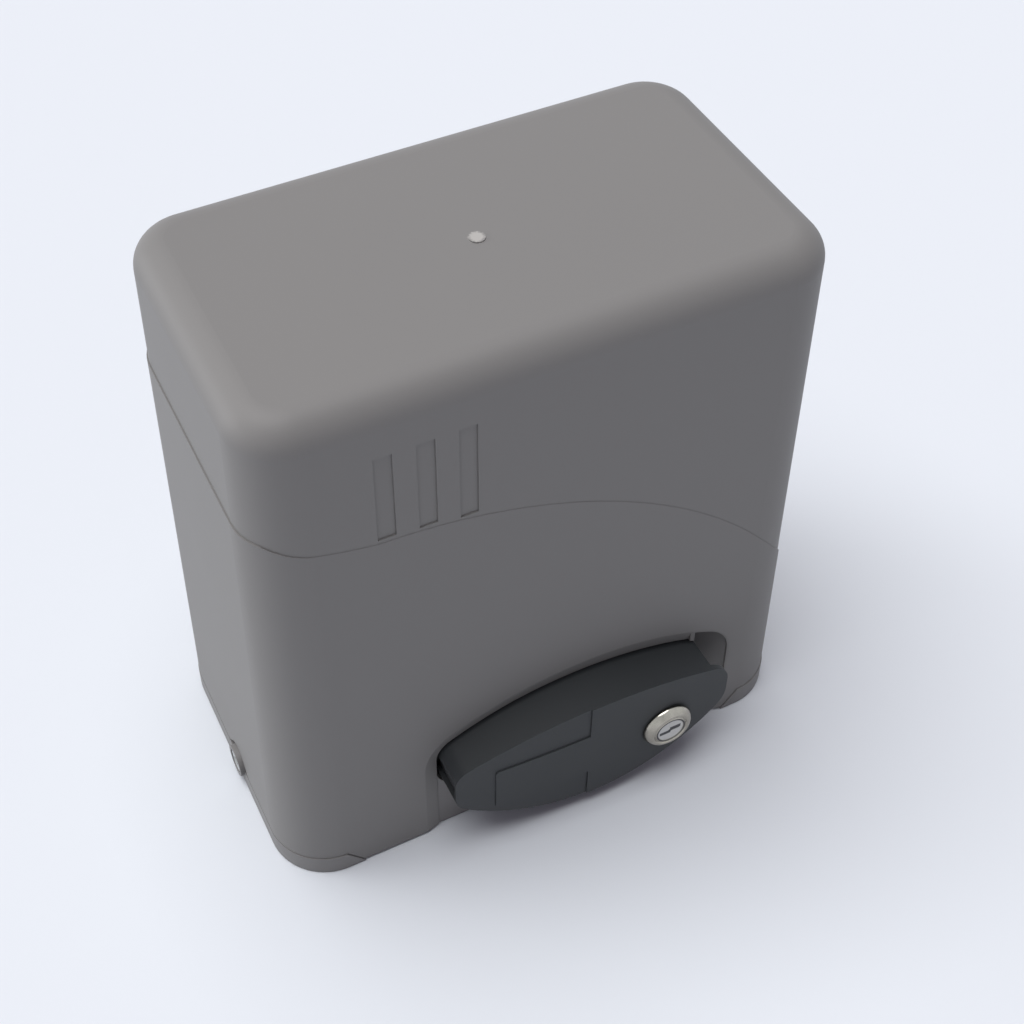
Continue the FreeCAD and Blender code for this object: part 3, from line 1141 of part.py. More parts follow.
def make_lock_ring():
    """The lock's bevelled rosette and barrel."""
    y_front = PLATE_Y - LOCK_RING_H
    seat = lock_seat_y()
    profile = [V(LOCK_PLUG_R + 0.05, seat, 0), V(LOCK_RING_R, seat, 0), V(LOCK_RING_R, seat - 1.0, 0),
               V(LOCK_RING_R - 1.2, seat - 2.0, 0), V(LOCK_FACE_R + 1.0, y_front + 0.5, 0),
               V(LOCK_FACE_R, y_front, 0), V(LOCK_PLUG_R + 0.05, y_front, 0), V(LOCK_PLUG_R + 0.05, seat, 0)]
    rosette = Part.Face(Part.makePolygon(profile)).revolve(V(0, 0, 0), AX_Y, 360)
    rosette.translate(V(LOCK_X, 0, LOCK_Z))
    barrel_l = LOCK_BACK_Y - 4 - seat
    barrel = ring(LOCK_BARREL_R - 0.05, LOCK_PLUG_R + 0.05, (LOCK_X, seat - 0.5, LOCK_Z), barrel_l, AX_Y)
    return fuse(rosette, barrel)


def lock_seat_y():
    """The back of the rosette, just in front of the bowed face at its left rim."""
    reach = LOCK_X - LOCK_RING_R - HANDLE_X
    return PLATE_Y + HANDLE_BOW_R - math.sqrt(HANDLE_BOW_R ** 2 - reach ** 2) - LOCK_SEAT_GAP


def make_lock_nut():
    """The hexagon nut that holds the lock from inside."""
    y = PLATE_Y + PLATE_T + 8 + SEAT_GAP
    nut = hexagon(V(LOCK_X, y, LOCK_Z), AX_Y, LOCK_NUT_R).extrude(AX_Y * LOCK_NUT_T)
    return nut.cut(rod(LOCK_BARREL_R, (LOCK_X, y - 1, LOCK_Z), 8, AX_Y))


def make_lock_plug():
    """The plug that the key turns, with its keyway across the face."""
    y_front = PLATE_Y - LOCK_RING_H + 0.4
    body = rod(LOCK_PLUG_R, (LOCK_X, y_front, LOCK_Z), LOCK_BACK_Y - y_front, AX_Y)
    half_l, half_w = KEYWAY_L / 2, KEYWAY_W / 2
    zigzag = [V(-half_l, 0, -half_w), V(-0.8, 0, -half_w), V(0.8, 0, -half_w + 1.1),
              V(half_l, 0, -half_w + 1.1), V(half_l, 0, half_w + 1.1), V(0.0, 0, half_w + 1.1),
              V(-1.6, 0, half_w), V(-half_l, 0, half_w), V(-half_l, 0, -half_w)]
    key = Part.Face(Part.makePolygon(zigzag)).extrude(V(0, 16, 0))
    key.translate(V(LOCK_X, y_front - 1, LOCK_Z - 0.5))
    return body.cut(key)


def make_lock_cam():
    """The steel cam on the back of the plug, upright when the lock is open."""
    y0 = LOCK_BACK_Y + 0.02
    half_w = LOCK_CAM_W / 2
    blade = box(LOCK_X - half_w, LOCK_X + half_w, y0, y0 + LOCK_CAM_T, LOCK_Z, LOCK_Z + LOCK_CAM_L)
    blade = fillet_where(blade, 3, lambda c, e: along(e, AX_Y) and c.z > LOCK_Z + 5)
    return fuse(blade, rod(half_w + 1.5, (LOCK_X, y0, LOCK_Z), LOCK_CAM_T, AX_Y))


# ---------------------------------------------------------------- limit switch and electrics
def make_limit_switch():
    """The limit switch's housing, let into the rear plate above the pinion."""
    back_y = cover_half(0)[1] - 1.0
    half_d = 6.7
    body = rounded_prism(17, half_d, 3, WAND_Z - 11, WAND_Z + 11, OUT_X, BOX_BACK_Y - 4 - SEAT_GAP - half_d)
    snout = rod(SNOUT_R, (OUT_X, BOX_BACK_Y - 8, WAND_Z), back_y + 3 - BOX_BACK_Y + 8, AX_Y)
    body = body.fuse(snout)
    narrow = WAND_R + 1.0
    wide = narrow + 30 * math.tan(math.radians(WAND_SWING + 1))
    gap = [V(-narrow, 0, 0), V(-wide, 30, 0), V(wide, 30, 0), V(narrow, 0, 0), V(-narrow, 0, 0)]
    throat = Part.Face(Part.makePolygon(gap)).extrude(V(0, 0, 2 * WAND_R + 2))
    throat.translate(V(OUT_X, wand_pivot_y(), WAND_Z - WAND_R - 1))
    pocket = rod(5.0, (OUT_X, wand_pivot_y(), WAND_Z - WAND_R - 1), 2 * WAND_R + 2)
    return body.cut(throat).cut(pocket)


def wand_pivot_y():
    """Where the wand swings, inside the snout."""
    return cover_half(0)[1] - 5.0


def make_limit_wand():
    """The springy wand that the stops on the gate push aside."""
    y0 = wand_pivot_y()
    body = rod(WAND_R, (OUT_X, y0, WAND_Z), WAND_L, AX_Y)
    for i in range(8):
        body = body.fuse(rod(WAND_R + 0.5, (OUT_X, y0 + 9 + i * 1.8, WAND_Z), 0.9, AX_Y))
    root = rod(4.0, (OUT_X, y0, WAND_Z - WAND_R), 2 * WAND_R)
    tip = Part.makeSphere(WAND_R + 1.2, V(OUT_X, y0 + WAND_L, WAND_Z))
    return body.fuse(root).fuse(tip)


def make_capacitor():
    """The motor's run capacitor: a can with two blade terminals."""
    z0 = BASE_FLANGE_H + 3
    can = rod(CAP_R, (CAP_X, CAP_Y, z0), CAP_H)
    can = fillet_where(can, 2, lambda c, e: e.Curve.TypeId == "Part::GeomCircle")
    blades = [box(CAP_X + dx - 3, CAP_X + dx + 3, CAP_Y - 0.4, CAP_Y + 0.4, z0 + CAP_H - 1, z0 + CAP_H + 8)
              for dx in (-6, 6)]
    return fuse(can, *blades)


def make_capacitor_clip():
    """The clip that stands the capacitor on the base."""
    z0 = BASE_FLANGE_H
    foot = rod(CAP_R + CLIP_WALL, (CAP_X, CAP_Y, z0), 2.7)
    cup = ring(CAP_R + CLIP_WALL - 1, CAP_R + 0.1, (CAP_X, CAP_Y, z0), CAP_R + CLIP_WALL)
    gap = box(CAP_X - 4, CAP_X + 4, CAP_Y, CAP_Y + 2 * CAP_R, z0 + 3, z0 + 2 * CAP_R)
    return fuse(foot, cup).cut(gap)


def trafo_window():
    """Half the width of a window in the transformer's core, and its middle from the core's."""
    return TRAFO_W / 8, TRAFO_W / 4


def make_transformer_core():
    """The transformer's laminated core on its feet."""
    half_window, window_x = trafo_window()
    y0, y1 = TRAFO_Y - TRAFO_LIMB, TRAFO_Y + TRAFO_LIMB
    z1 = TRAFO_Z0 + TRAFO_H
    body = box(TRAFO_X - TRAFO_W / 2, TRAFO_X + TRAFO_W / 2, y0, y1, TRAFO_Z0, z1)
    for x in (TRAFO_X - window_x, TRAFO_X + window_x):
        body = body.cut(box(x - half_window, x + half_window, y0 - 1, y1 + 1,
                            TRAFO_Z0 + TRAFO_LIMB, z1 - TRAFO_LIMB))
    feet = box(TRAFO_X - TRAFO_W / 2 - TRAFO_FOOT, TRAFO_X + TRAFO_W / 2 + TRAFO_FOOT, y0 + 2, y1 - 2,
               BASE_FLANGE_H, TRAFO_Z0 + 1)
    return fuse(body, feet)


def make_transformer_coil():
    """The winding round the core's middle limb."""
    half_window, window_x = trafo_window()
    z0, z1 = TRAFO_Z0 + TRAFO_LIMB + SEAT_GAP, TRAFO_Z0 + TRAFO_H - TRAFO_LIMB - SEAT_GAP
    coil = rounded_prism(window_x + half_window - SEAT_GAP, TRAFO_D / 2, 4, z0, z1, TRAFO_X, TRAFO_Y)
    inner_x = window_x - half_window + 0.2
    inner_y = TRAFO_LIMB + SEAT_GAP
    return coil.cut(box(TRAFO_X - inner_x, TRAFO_X + inner_x, TRAFO_Y - inner_y, TRAFO_Y + inner_y,
                        z0 - 1, z1 + 1))


def make_board_carrier():
    """The moulded tray that holds the control board in front of the motor's right side."""
    y0 = BOARD_Y + BOARD_T + 3 * BOARD_GRID
    x0, x1 = BOARD_X0 - CARRIER_RIM, BOARD_X1 + CARRIER_RIM
    z0, z1 = BOARD_Z0 - CARRIER_RIM, BOARD_Z1 + CARRIER_RIM
    half_rim = CARRIER_RIM / 2
    plate = box(x0, x1, y0, y0 + CARRIER_T, z0, z1)
    rim = box(x0, x1, y0 - 5, y0, z0, z1).cut(
        box(x0 + half_rim, x1 - half_rim, y0 - 6, y0 + 1, z0 + half_rim, z1 - half_rim))
    legs = []
    near_leg_x = OUT_X + wheel_out_r() + 10 + CARRIER_LEG_GAP + 3
    for x in (near_leg_x, BOARD_X1 - 2):
        legs.append(box(x - 3, x + 3, y0, y0 + CARRIER_T + 4, BASE_FLANGE_H, BOARD_Z0))
        legs.append(box(x - 3, x + 3, y0 - 8, y0 + CARRIER_T + 4, BASE_FLANGE_H, BASE_FLANGE_H + 3))
    posts = [rod(4, (x, BOARD_Y + BOARD_T, z), y0 - BOARD_Y - BOARD_T + 1, AX_Y) for x, z in board_holes()]
    body = fuse(plate, rim, *legs, *posts)
    for x, z in board_holes():
        body = body.cut(rod(1.4, (x, BOARD_Y - 2, z), 12, AX_Y))
    return body


def board_holes():
    """The control board's four screw holes."""
    inset = 2.5 * BOARD_GRID
    return [(x, z) for x in (BOARD_X0 + inset, BOARD_X1 - inset)
            for z in (BOARD_Z0 + inset, BOARD_Z1 - inset)]


def make_board():
    """The control board."""
    body = box(BOARD_X0, BOARD_X1, BOARD_Y, BOARD_Y + BOARD_T, BOARD_Z0, BOARD_Z1)
    for x, z in board_holes():
        body = body.cut(rod(1.6, (x, BOARD_Y - 1, z), 4, AX_Y))
    return body


def make_board_screws():
    """The board's four screws."""
    return group([screw(2.8, 2.0, 1.35, 8.5, (x, BOARD_Y, z), AX_Y, 0) for x, z in board_holes()])


def on_board(x0, x1, height, z0, z1):
    """A block on the board's front: its sides in grid steps from the board's lower left corner."""
    return box(BOARD_X0 + x0 * BOARD_GRID, BOARD_X0 + x1 * BOARD_GRID, BOARD_Y - height * BOARD_GRID, BOARD_Y,
               BOARD_Z0 + z0 * BOARD_GRID, BOARD_Z0 + z1 * BOARD_GRID)


def make_terminals():
    """Three blocks of four screw terminals along the board's foot."""
    pitch = (BOARD_X1 - BOARD_X0 - 11 * BOARD_GRID) / 3
    way = (pitch - BOARD_GRID) / 4
    z0 = BOARD_Z0 + 5 * BOARD_GRID
    depth = 5.5 * BOARD_GRID
    out = []
    for i in range(3):
        x0 = BOARD_X0 + 6 * BOARD_GRID + i * pitch
        body = box(x0, x0 + 4 * way, BOARD_Y - depth, BOARD_Y, z0, z0 + 5 * BOARD_GRID)
        for k in range(4):
            x = x0 + (k + 0.5) * way
            body = body.cut(rod(0.34 * way, (x, BOARD_Y - depth - 1, z0 + 3 * BOARD_GRID), 4, AX_Y))
            body = body.cut(box(x - 0.32 * way, x + 0.32 * way, BOARD_Y - 4 * BOARD_GRID,
                                BOARD_Y - 2 * BOARD_GRID, z0 - 1, z0 + 1.5 * BOARD_GRID))
        out.append(body)
    return group(out)


def make_relays():
    """The three motor relays."""
    relays = [on_board(7 + 10 * i, 14.5 + 10 * i, 8, 17, 26.5) for i in range(3)]
    return group([fillet_where(relay, 1, lambda c, e: along(e, AX_Y)) for relay in relays])


def make_radio_module():
    """The plug-in radio receiver, a small board on edge in its socket."""
    socket = on_board(8, 31, 4, 48, 50.5)
    card = on_board(9, 30, 12, 48.8, 49.7)
    can = on_board(20, 27, 10.5, 49.6, 51.5).cut(on_board(19, 28, 5.5, 49.6, 52))
    return fuse(socket, card, can)


def make_fuse():
    """The fuse in its clips."""
    x = BOARD_X1 - 11 * BOARD_GRID
    radius = 1.3 * BOARD_GRID
    z0 = BOARD_Z0 + 35 * BOARD_GRID
    clips = [box(x - 1.75 * BOARD_GRID, x + 1.75 * BOARD_GRID, BOARD_Y - 3.5 * BOARD_GRID, BOARD_Y,
                 z, z + 2 * BOARD_GRID) for z in (z0, z0 + 8 * BOARD_GRID)]
    return fuse(rod(radius, (x, BOARD_Y - 2.5 * BOARD_GRID, z0 - 0.5), 10.5 * BOARD_GRID), *clips)


def make_board_chips():
    """The processor and two smoothing capacitors."""
    x, y = BOARD_X0 + 6 * BOARD_GRID, BOARD_Y - 7 * BOARD_GRID
    cans = [rod(2.25 * BOARD_GRID, (x, y, BOARD_Z0 + z * BOARD_GRID), 7 * BOARD_GRID, AX_Y) for z in (33, 40)]
    return group([on_board(13, 19, 0.9, 35, 41), *cans])


# ---------------------------------------------------------------- assembly
def nodes():
    """Every piece of the motor by name."""
    z0, _, _, z3 = bell_z()
    front_bearing = (OUT_X, BOX_FRONT_Y - COVER_PLATE_T, OUT_Z)
    return {
        "cover": make_cover(),
        "base": clear_side_pockets(make_base()),
        "cover_screws": make_side_screws(),
        "cover_nuts": make_side_nuts(),
        "levelling_screws": make_level_screws(),
        "cable_gland": make_cable_gland(),
        "gear_housing": make_gear_housing(),
        "gear_cover": make_gear_cover(),
        "gear_cover_screws": make_gear_cover_screws(),
        "housing_bolts": make_box_bolts(),
        "rear_output_bearing": bearing(BEARING_OUT_R - 0.02, SHAFT_R + RUN_GAP,
                                       (OUT_X, rear_bearing_y(), OUT_Z), BEARING_W, AX_Y),
        "front_output_bearing": bearing(BEARING_OUT_R - 3.02, SHAFT_R - 2.5 + RUN_GAP, front_bearing,
                                        COVER_PLATE_T, AX_Y),
        "output_seal": ring(SEAL_R - 0.02, SHAFT_R + RUN_GAP, (OUT_X, cover_half(0)[1] + 1.8 - SEAL_W, OUT_Z),
                            SEAL_W, AX_Y),
        "worm_bearing": bearing(15.98, MOTOR_SHAFT_R + RUN_GAP, (WORM_X, WORM_Y, WORM_Z0 - 17), 9, AX_Z),
        "lower_motor_bearing": bearing(17.5, MOTOR_SHAFT_R + RUN_GAP, (WORM_X, WORM_Y, z0 + 0.5), 10, AX_Z),
        "upper_motor_bearing": bearing(13.0, 5.0 + RUN_GAP, (WORM_X, WORM_Y, z3 - 13.5), 8, AX_Z),
        "lower_end_bell": make_low_bell(),
        "stator_stack": make_stator(),
        "stator_windings": make_windings(),
        "upper_end_bell": make_high_bell(),
        "motor_tie_bolts": make_tie_bolts(),
        "rotor_core": make_rotor(),
        "worm_shaft": make_worm_shaft(),
        "rotor_fan": make_fan(),
        "worm_wheel": make_worm_wheel(),
        "output_shaft": make_output_shaft(),
        "rack_pinion": make_pinion(),
        "pinion_key": make_pinion_key(),
        "pinion_washer": make_pinion_washer(),
        "pinion_bolt": make_pinion_bolt(),
        "clutch_ring": make_clutch_ring(),
        "clutch_pin": make_clutch_pin(),
        "release_plunger": make_plunger(),
        "plunger_spring": make_plunger_spring(),
        "release_handle": make_handle(),
        "handle_hinge_pin": make_hinge_pin(),
        "hinge_bracket": make_hinge_bracket(),
        "strike_bracket": make_strike_bracket(),
        "lock_body": make_lock_ring(),
        "lock_nut": make_lock_nut(),
        "lock_plug": make_lock_plug(),
        "lock_cam": make_lock_cam(),
        "limit_switch": make_limit_switch(),
        "limit_wand": make_limit_wand(),
        "run_capacitor": make_capacitor(),
        "capacitor_clip": make_capacitor_clip(),
        "transformer_core": make_transformer_core(),
        "transformer_coil": make_transformer_coil(),
        "board_carrier": make_board_carrier(),
        "control_board": make_board(),
        "board_screws": make_board_screws(),
        "terminal_blocks": make_terminals(),
        "motor_relays": make_relays(),
        "radio_module": make_radio_module(),
        "board_fuse": make_fuse(),
        "board_chips": make_board_chips(),
    }


def main():
    """Write one STEP file for each piece."""
    os.makedirs("parts", exist_ok=True)
    for name, shape in nodes().items():
        shape.exportStep(os.path.join("parts", name + ".step"))
        print(name, len(shape.Solids), round(shape.Volume), shape.isValid())


main()
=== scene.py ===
"""The sliding gate motor's looks.

It holds a finish for every part, and the small pieces that the solids leave plain. Lengths are in
millimetres and turns in degrees, unless a docstring says otherwise.
"""
import logging
import math
from dataclasses import dataclass, field, replace
from enum import Enum
from functools import cache
from typing import Sequence

import bmesh
import bpy
from mathutils import Euler, Matrix, Vector


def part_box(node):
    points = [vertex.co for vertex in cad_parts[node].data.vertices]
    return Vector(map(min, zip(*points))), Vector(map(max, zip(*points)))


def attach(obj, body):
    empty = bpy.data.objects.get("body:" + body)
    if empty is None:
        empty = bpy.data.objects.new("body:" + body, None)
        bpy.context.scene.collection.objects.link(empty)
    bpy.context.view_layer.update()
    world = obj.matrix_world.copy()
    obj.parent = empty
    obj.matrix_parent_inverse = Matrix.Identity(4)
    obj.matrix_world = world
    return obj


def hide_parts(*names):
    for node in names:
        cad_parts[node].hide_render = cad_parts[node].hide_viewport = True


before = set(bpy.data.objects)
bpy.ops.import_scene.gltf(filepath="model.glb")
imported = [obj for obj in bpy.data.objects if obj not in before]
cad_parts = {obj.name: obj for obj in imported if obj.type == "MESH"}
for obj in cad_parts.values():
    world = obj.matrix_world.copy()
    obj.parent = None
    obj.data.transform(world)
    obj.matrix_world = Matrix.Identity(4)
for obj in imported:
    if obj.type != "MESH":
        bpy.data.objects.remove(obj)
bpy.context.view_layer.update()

MM = 0.001
FULL_TURN = 360.0
WELD = 1e-6
AXIS_X, AXIS_Y, AXIS_Z = Vector((1, 0, 0)), Vector((0, 1, 0)), Vector((0, 0, 1))
LOG = logging.getLogger("gate_motor")
ORIGIN = (0.0, 0.0, 0.0)
Colour = tuple[float, float, float]
Place = Sequence[float]
Profile = Sequence[tuple[float, float]]
Tree = bpy.types.NodeTree
Socket = bpy.types.NodeSocket


class Body(Enum):
    """The bodies that new pieces ride on."""

    BASE = "base"
    HANDLE = "handle"
    LOCK = "lock"


class Lay(Enum):
    """How far the grain is drawn out along each axis: a smaller number draws it out more."""

    ROUND_Y = (0.02, 1.0, 0.02)
    ROUND_Z = (0.02, 0.02, 1.0)
    ROLLED = (0.05, 0.6, 1.0)
    EVEN = (1.0, 1.0, 1.0)


# ---- shader nodes
def feed(tree: Tree, node: bpy.types.Node, inputs: dict[str | int, object]) -> None:
    """Set or link a node's inputs.

    Args:
        tree: The node's tree.
        node: The node.
        inputs: For each input, its value or the socket that feeds it.
    """
    for label, value in inputs.items():
        if isinstance(value, Socket):
            tree.links.new(value, node.inputs[label])
        else:
            node.inputs[label].default_value = value


def add_node(tree: Tree, kind: str, inputs: dict[str | int, object], **settings: object) -> bpy.types.Node:
    """Add a shader node.

    Args:
        tree: The tree to add it to.
        kind: Its type, without the leading "ShaderNode".
        inputs: What feeds its inputs.
        **settings: The node's own settings, such as its operation.

    Returns:
        The new node.
    """
    made = tree.nodes.new(f"ShaderNode{kind}")
    for name, value in settings.items():
        setattr(made, name, value)
    feed(tree, made, inputs)
    return made


def add_math(tree: Tree, operation: str, *values: object) -> Socket:
    """Add a maths node.

    Args:
        tree: The tree to add it to.
        operation: What it does.
        *values: A number or a socket for each input.

    Returns:
        The result's socket.
    """
    return add_node(tree, "Math", dict(enumerate(values)), operation=operation).outputs[0]


def add_spread(tree: Tree, value: Socket, amount: Socket, middle: object) -> Socket:
    """Spread a noise, which runs from 0 to 1, about a middle.

    Args:
        tree: The tree to work in.
        value: The noise's socket.
        amount: The socket that says how far to spread it.
        middle: The result where the noise is halfway.

    Returns:
        The spread value's socket.
    """
    centred = add_math(tree, "SUBTRACT", value, 0.5)
    return add_math(tree, "MULTIPLY_ADD", centred, amount, middle)


def mix_base(tree: Tree, mask: Socket, low: object, high: object) -> None:
    """Give a material's shader a mix of two colours.

    Args:
        tree: The material's tree.
        mask: The socket that says how much of the second colour shows.
        low: The first colour.
        high: The second colour.
    """
    mix = add_node(tree, "Mix", {"Factor": mask, "A": low, "B": high}, data_type="RGBA")
    feed(tree, tree.nodes["Principled BSDF"], {"Base Color": mix.outputs["Result"]})


def start_group(name: str, inputs: dict[str, object], outputs: dict[str, str]) -> Tree:
    """Make an empty group with its sockets.

    Args:
        name: The group's name.
        inputs: Each input's default: a number, a colour of four numbers or a place of three.
        outputs: Each output's type.

    Returns:
        The new group.
    """
    tree = bpy.data.node_groups.new(name, "ShaderNodeTree")
    for label, value in inputs.items():
        kind = "Float" if isinstance(value, float) else "Color" if len(value) == 4 else "Vector"
        socket = tree.interface.new_socket(label, in_out="INPUT", socket_type=f"NodeSocket{kind}")
        socket.default_value = value
    for label, kind in outputs.items():
        tree.interface.new_socket(label, in_out="OUTPUT", socket_type=f"NodeSocket{kind}")
    tree.nodes.new("NodeGroupInput").name = "in"
    tree.nodes.new("NodeGroupOutput").name = "out"
    return tree


@cache
def grain_group() -> Tree:
    """Even moulded or cast grain: a mottled colour, a varied roughness and a fine bump.

    Returns:
        The group.
    """
    tree = start_group(
        "surface grain",
        {"Vector": ORIGIN, "Colour": (0.5, 0.5, 0.5, 1.0), "Mottle": 0.05, "Patch Scale": 30.0,
         "Grain Scale": 1500.0, "Depth": 0.2, "Rough": 0.5, "Rough Spread": 0.1},
        {"Colour": "Color", "Roughness": "Float", "Normal": "Vector"})
    source = tree.nodes["in"].outputs
    patches = add_node(tree, "TexNoise", {
        "Vector": source["Vector"], "Scale": source["Patch Scale"], "Detail": 4.0}).outputs["Fac"]
    fine = add_node(tree, "TexNoise", {
        "Vector": source["Vector"], "Scale": source["Grain Scale"], "Detail": 3.0,
        "Roughness": 0.6}).outputs["Fac"]
    shade = add_math(tree, "MULTIPLY", add_spread(tree, patches, source["Mottle"], 1.0),
                     add_spread(tree, fine, source["Mottle"], 1.0))
    tint = add_node(tree, "VectorMath", {0: source["Colour"], "Scale": shade}, operation="SCALE")
    rough = add_spread(tree, patches, source["Rough Spread"], source["Rough"])
    bump = add_node(tree, "Bump", {"Distance": 0.0002, "Strength": source["Depth"], "Height": fine})
    feed(tree, tree.nodes["out"], {"Colour": tint.outputs[0], "Roughness": rough, "Normal": bump.outputs[0]})
    return tree


@cache
def stripes_group() -> Tree:
    """Even ridges across one axis, as in stacked sheet or wound wire.

    Returns:
        The group.
    """
    tree = start_group("even ridges", {"Vector": ORIGIN, "Per Metre": 1000.0, "Depth": 0.5, "Reach": 0.0002},
                       {"Mask": "Float", "Normal": "Vector"})
    source = tree.nodes["in"].outputs
    scaled = add_node(tree, "VectorMath", {0: source["Vector"], "Scale": source["Per Metre"]},
                      operation="SCALE")
    wave = add_node(tree, "TexWave", {
        "Vector": scaled.outputs[0], "Scale": 0.31416, "Distortion": 0.15, "Detail": 1.0},
        wave_type="BANDS", bands_direction="Z").outputs["Fac"]
    bump = add_node(tree, "Bump", {"Distance": source["Reach"], "Strength": source["Depth"], "Height": wave})
    feed(tree, tree.nodes["out"], {"Mask": wave, "Normal": bump.outputs[0]})
    return tree


@cache
def spot_group() -> Tree:
    """A soft-edged, slightly ragged round patch about a point.

    Returns:
        The group.
    """
    tree = start_group("soft spot", {"Vector": ORIGIN, "Middle": ORIGIN, "Reach": 0.004}, {"Mask": "Float"})
    source = tree.nodes["in"].outputs
    away = add_node(tree, "VectorMath", {0: source["Vector"], 1: source["Middle"]}, operation="DISTANCE")
    share = add_math(tree, "DIVIDE", away.outputs["Value"], source["Reach"])
    ragged = add_node(tree, "TexNoise", {"Vector": source["Vector"], "Scale": 900.0}).outputs["Fac"]
    total = add_math(tree, "ADD", share, add_spread(tree, ragged, share, 0.0))
    fade = add_node(tree, "MapRange", {"Value": total, "From Min": 1.0, "From Max": 0.55},
                    interpolation_type="SMOOTHSTEP")
    feed(tree, tree.nodes["out"], {"Mask": fade.outputs["Result"]})
    return tree


# ---- finishes
@dataclass(frozen=True)
class Finish:
    """A surface finish: grain in a colour, with its gloss.

    Attributes:
        name: The material's name.
        colour: Its linear colour.
        rough: Its middle roughness.
        metallic: 1 for bare metal.
        mottle: How much the colour varies; on the lock's chrome its strong patches are painted reflections.
        patch: Patches per metre, for the slow variation.
        grain: Grains per metre.
        depth: Strength of the grain's bump.
        spread: How much the roughness varies.
        lay: Which way the grain is drawn out.
        coat: Strength of a clear coat.
        gloss: The shader's specular level.
    """

    name: str
    colour: Colour
    rough: float = 0.5
    metallic: float = 0.0
    mottle: float = 0.05
    patch: float = 30.0
    grain: float = 1500.0
    depth: float = 0.2
    spread: float = 0.1
    lay: Lay = Lay.EVEN
    coat: float = 0.0
    gloss: float = 0.5

    def build(self) -> bpy.types.Material:
        """Make the material.

        Returns:
            The new material.
        """
        made = bpy.data.materials.new(self.name)
        made.use_nodes = True
        made.diffuse_color = (*self.colour, 1.0)
        tree = made.node_tree
        place = add_node(tree, "TexCoord", {}, name="place")
        drawn = add_node(tree, "Mapping", {"Vector": place.outputs["Object"], "Scale": self.lay.value})
        grain = add_node(tree, "Group", {
            "Vector": drawn.outputs[0], "Colour": (*self.colour, 1.0), "Mottle": self.mottle,
            "Patch Scale": self.patch, "Grain Scale": self.grain, "Depth": self.depth, "Rough": self.rough,
            "Rough Spread": self.spread}, node_tree=grain_group(), name="grain")
        feed(tree, tree.nodes["Principled BSDF"], {
            "Base Color": grain.outputs["Colour"], "Roughness": grain.outputs["Roughness"],
            "Normal": grain.outputs["Normal"], "Metallic": self.metallic, "Coat Weight": self.coat,
            "Specular IOR Level": self.gloss})
        return made


@dataclass(frozen=True)
class RidgedFinish(Finish):
    """A finish with even ridges over its grain: laminations, or windings of wire.

    Attributes:
        per_metre: Ridges in a metre.
        groove_shade: Colour in the grooves, which is painted shade between turns of wire, and dark joints
            with painted shade between sheets.
        turn: Euler angles that bring the ridges' axis to Z.
        relief: Strength of the ridges' bump.
        height: The ridges' height, as a share of their pitch.
    """

    per_metre: float = 1000.0
    groove_shade: Colour = (0.02, 0.02, 0.02)
    turn: tuple[float, float, float] = (0.0, 0.0, 0.0)
    relief: float = 0.8
    height: float = 0.25

    def build(self) -> bpy.types.Material:
        """Make the material.

        Returns:
            The new material.
        """
        made = super().build()
        tree = made.node_tree
        turned = add_node(tree, "Mapping", {
            "Vector": tree.nodes["place"].outputs["Object"], "Rotation": self.turn})
        ridges = add_node(tree, "Group", {
            "Vector": turned.outputs[0], "Per Metre": self.per_metre, "Depth": self.relief,
            "Reach": self.height / self.per_metre}, node_tree=stripes_group())
        # The ridge mask paints the grooves darker: painted shade between turns of wire, and dark joints with
        # painted shade between sheets.
        mix_base(tree, ridges.outputs["Mask"], (*self.groove_shade, 1.0), tree.nodes["grain"].outputs["Colour"])
        feed(tree, tree.nodes["Principled BSDF"], {"Normal": ridges.outputs["Normal"]})
        return made


@dataclass(frozen=True)
class BlushedFinish(Finish):
    """A moulded finish with the pale blush that the plastic has round its gate mark.

    Attributes:
        middle: The gate mark's middle.
        reach: The blush's radius.
        pale: The blush's colour.
    """

    middle: tuple[float, float, float] = (-3.0, -3.5, 292.0)
    reach: float = 3.9
    pale: Colour = (0.43, 0.42, 0.40)

    def build(self) -> bpy.types.Material:
        """Make the material.

        Returns:
            The new material.
        """
        made = super().build()
        tree = made.node_tree
        blush = add_node(tree, "Group", {
            "Vector": tree.nodes["place"].outputs["Object"], "Middle": Vector(self.middle) * MM,
            "Reach": self.reach * MM}, node_tree=spot_group())
        mix_base(tree, blush.outputs["Mask"], tree.nodes["grain"].outputs["Colour"], (*self.pale, 1.0))
        return made


TURNED_STEEL = Finish("turned steel", (0.56, 0.56, 0.57), rough=0.24, metallic=1.0, mottle=0.10, patch=90.0,
                      grain=5200.0, depth=0.18, spread=0.16, lay=Lay.ROUND_Y)
STACK_SHEET = RidgedFinish("stack sheet", (0.24, 0.25, 0.27), rough=0.42, metallic=0.9, mottle=0.12,
                           patch=60.0, per_metre=1400.0, groove_shade=(0.05, 0.05, 0.055), relief=0.6)
LAMP_RED = Finish("lamp red", (0.55, 0.02, 0.015), rough=0.16, patch=200.0, grain=900.0, depth=0.02, coat=0.6)
WIRE_BLACK = Finish("wire black", (0.02, 0.02, 0.022), rough=0.40, mottle=0.06, patch=80.0, grain=900.0,
                    depth=0.1)
GLOSSY_WIRES: dict[str, Colour] = {
    "wire brown": (0.11, 0.045, 0.02), "wire blue": (0.02, 0.09, 0.38), "wire red": (0.42, 0.02, 0.015),
    "wire white": (0.60, 0.60, 0.58)}
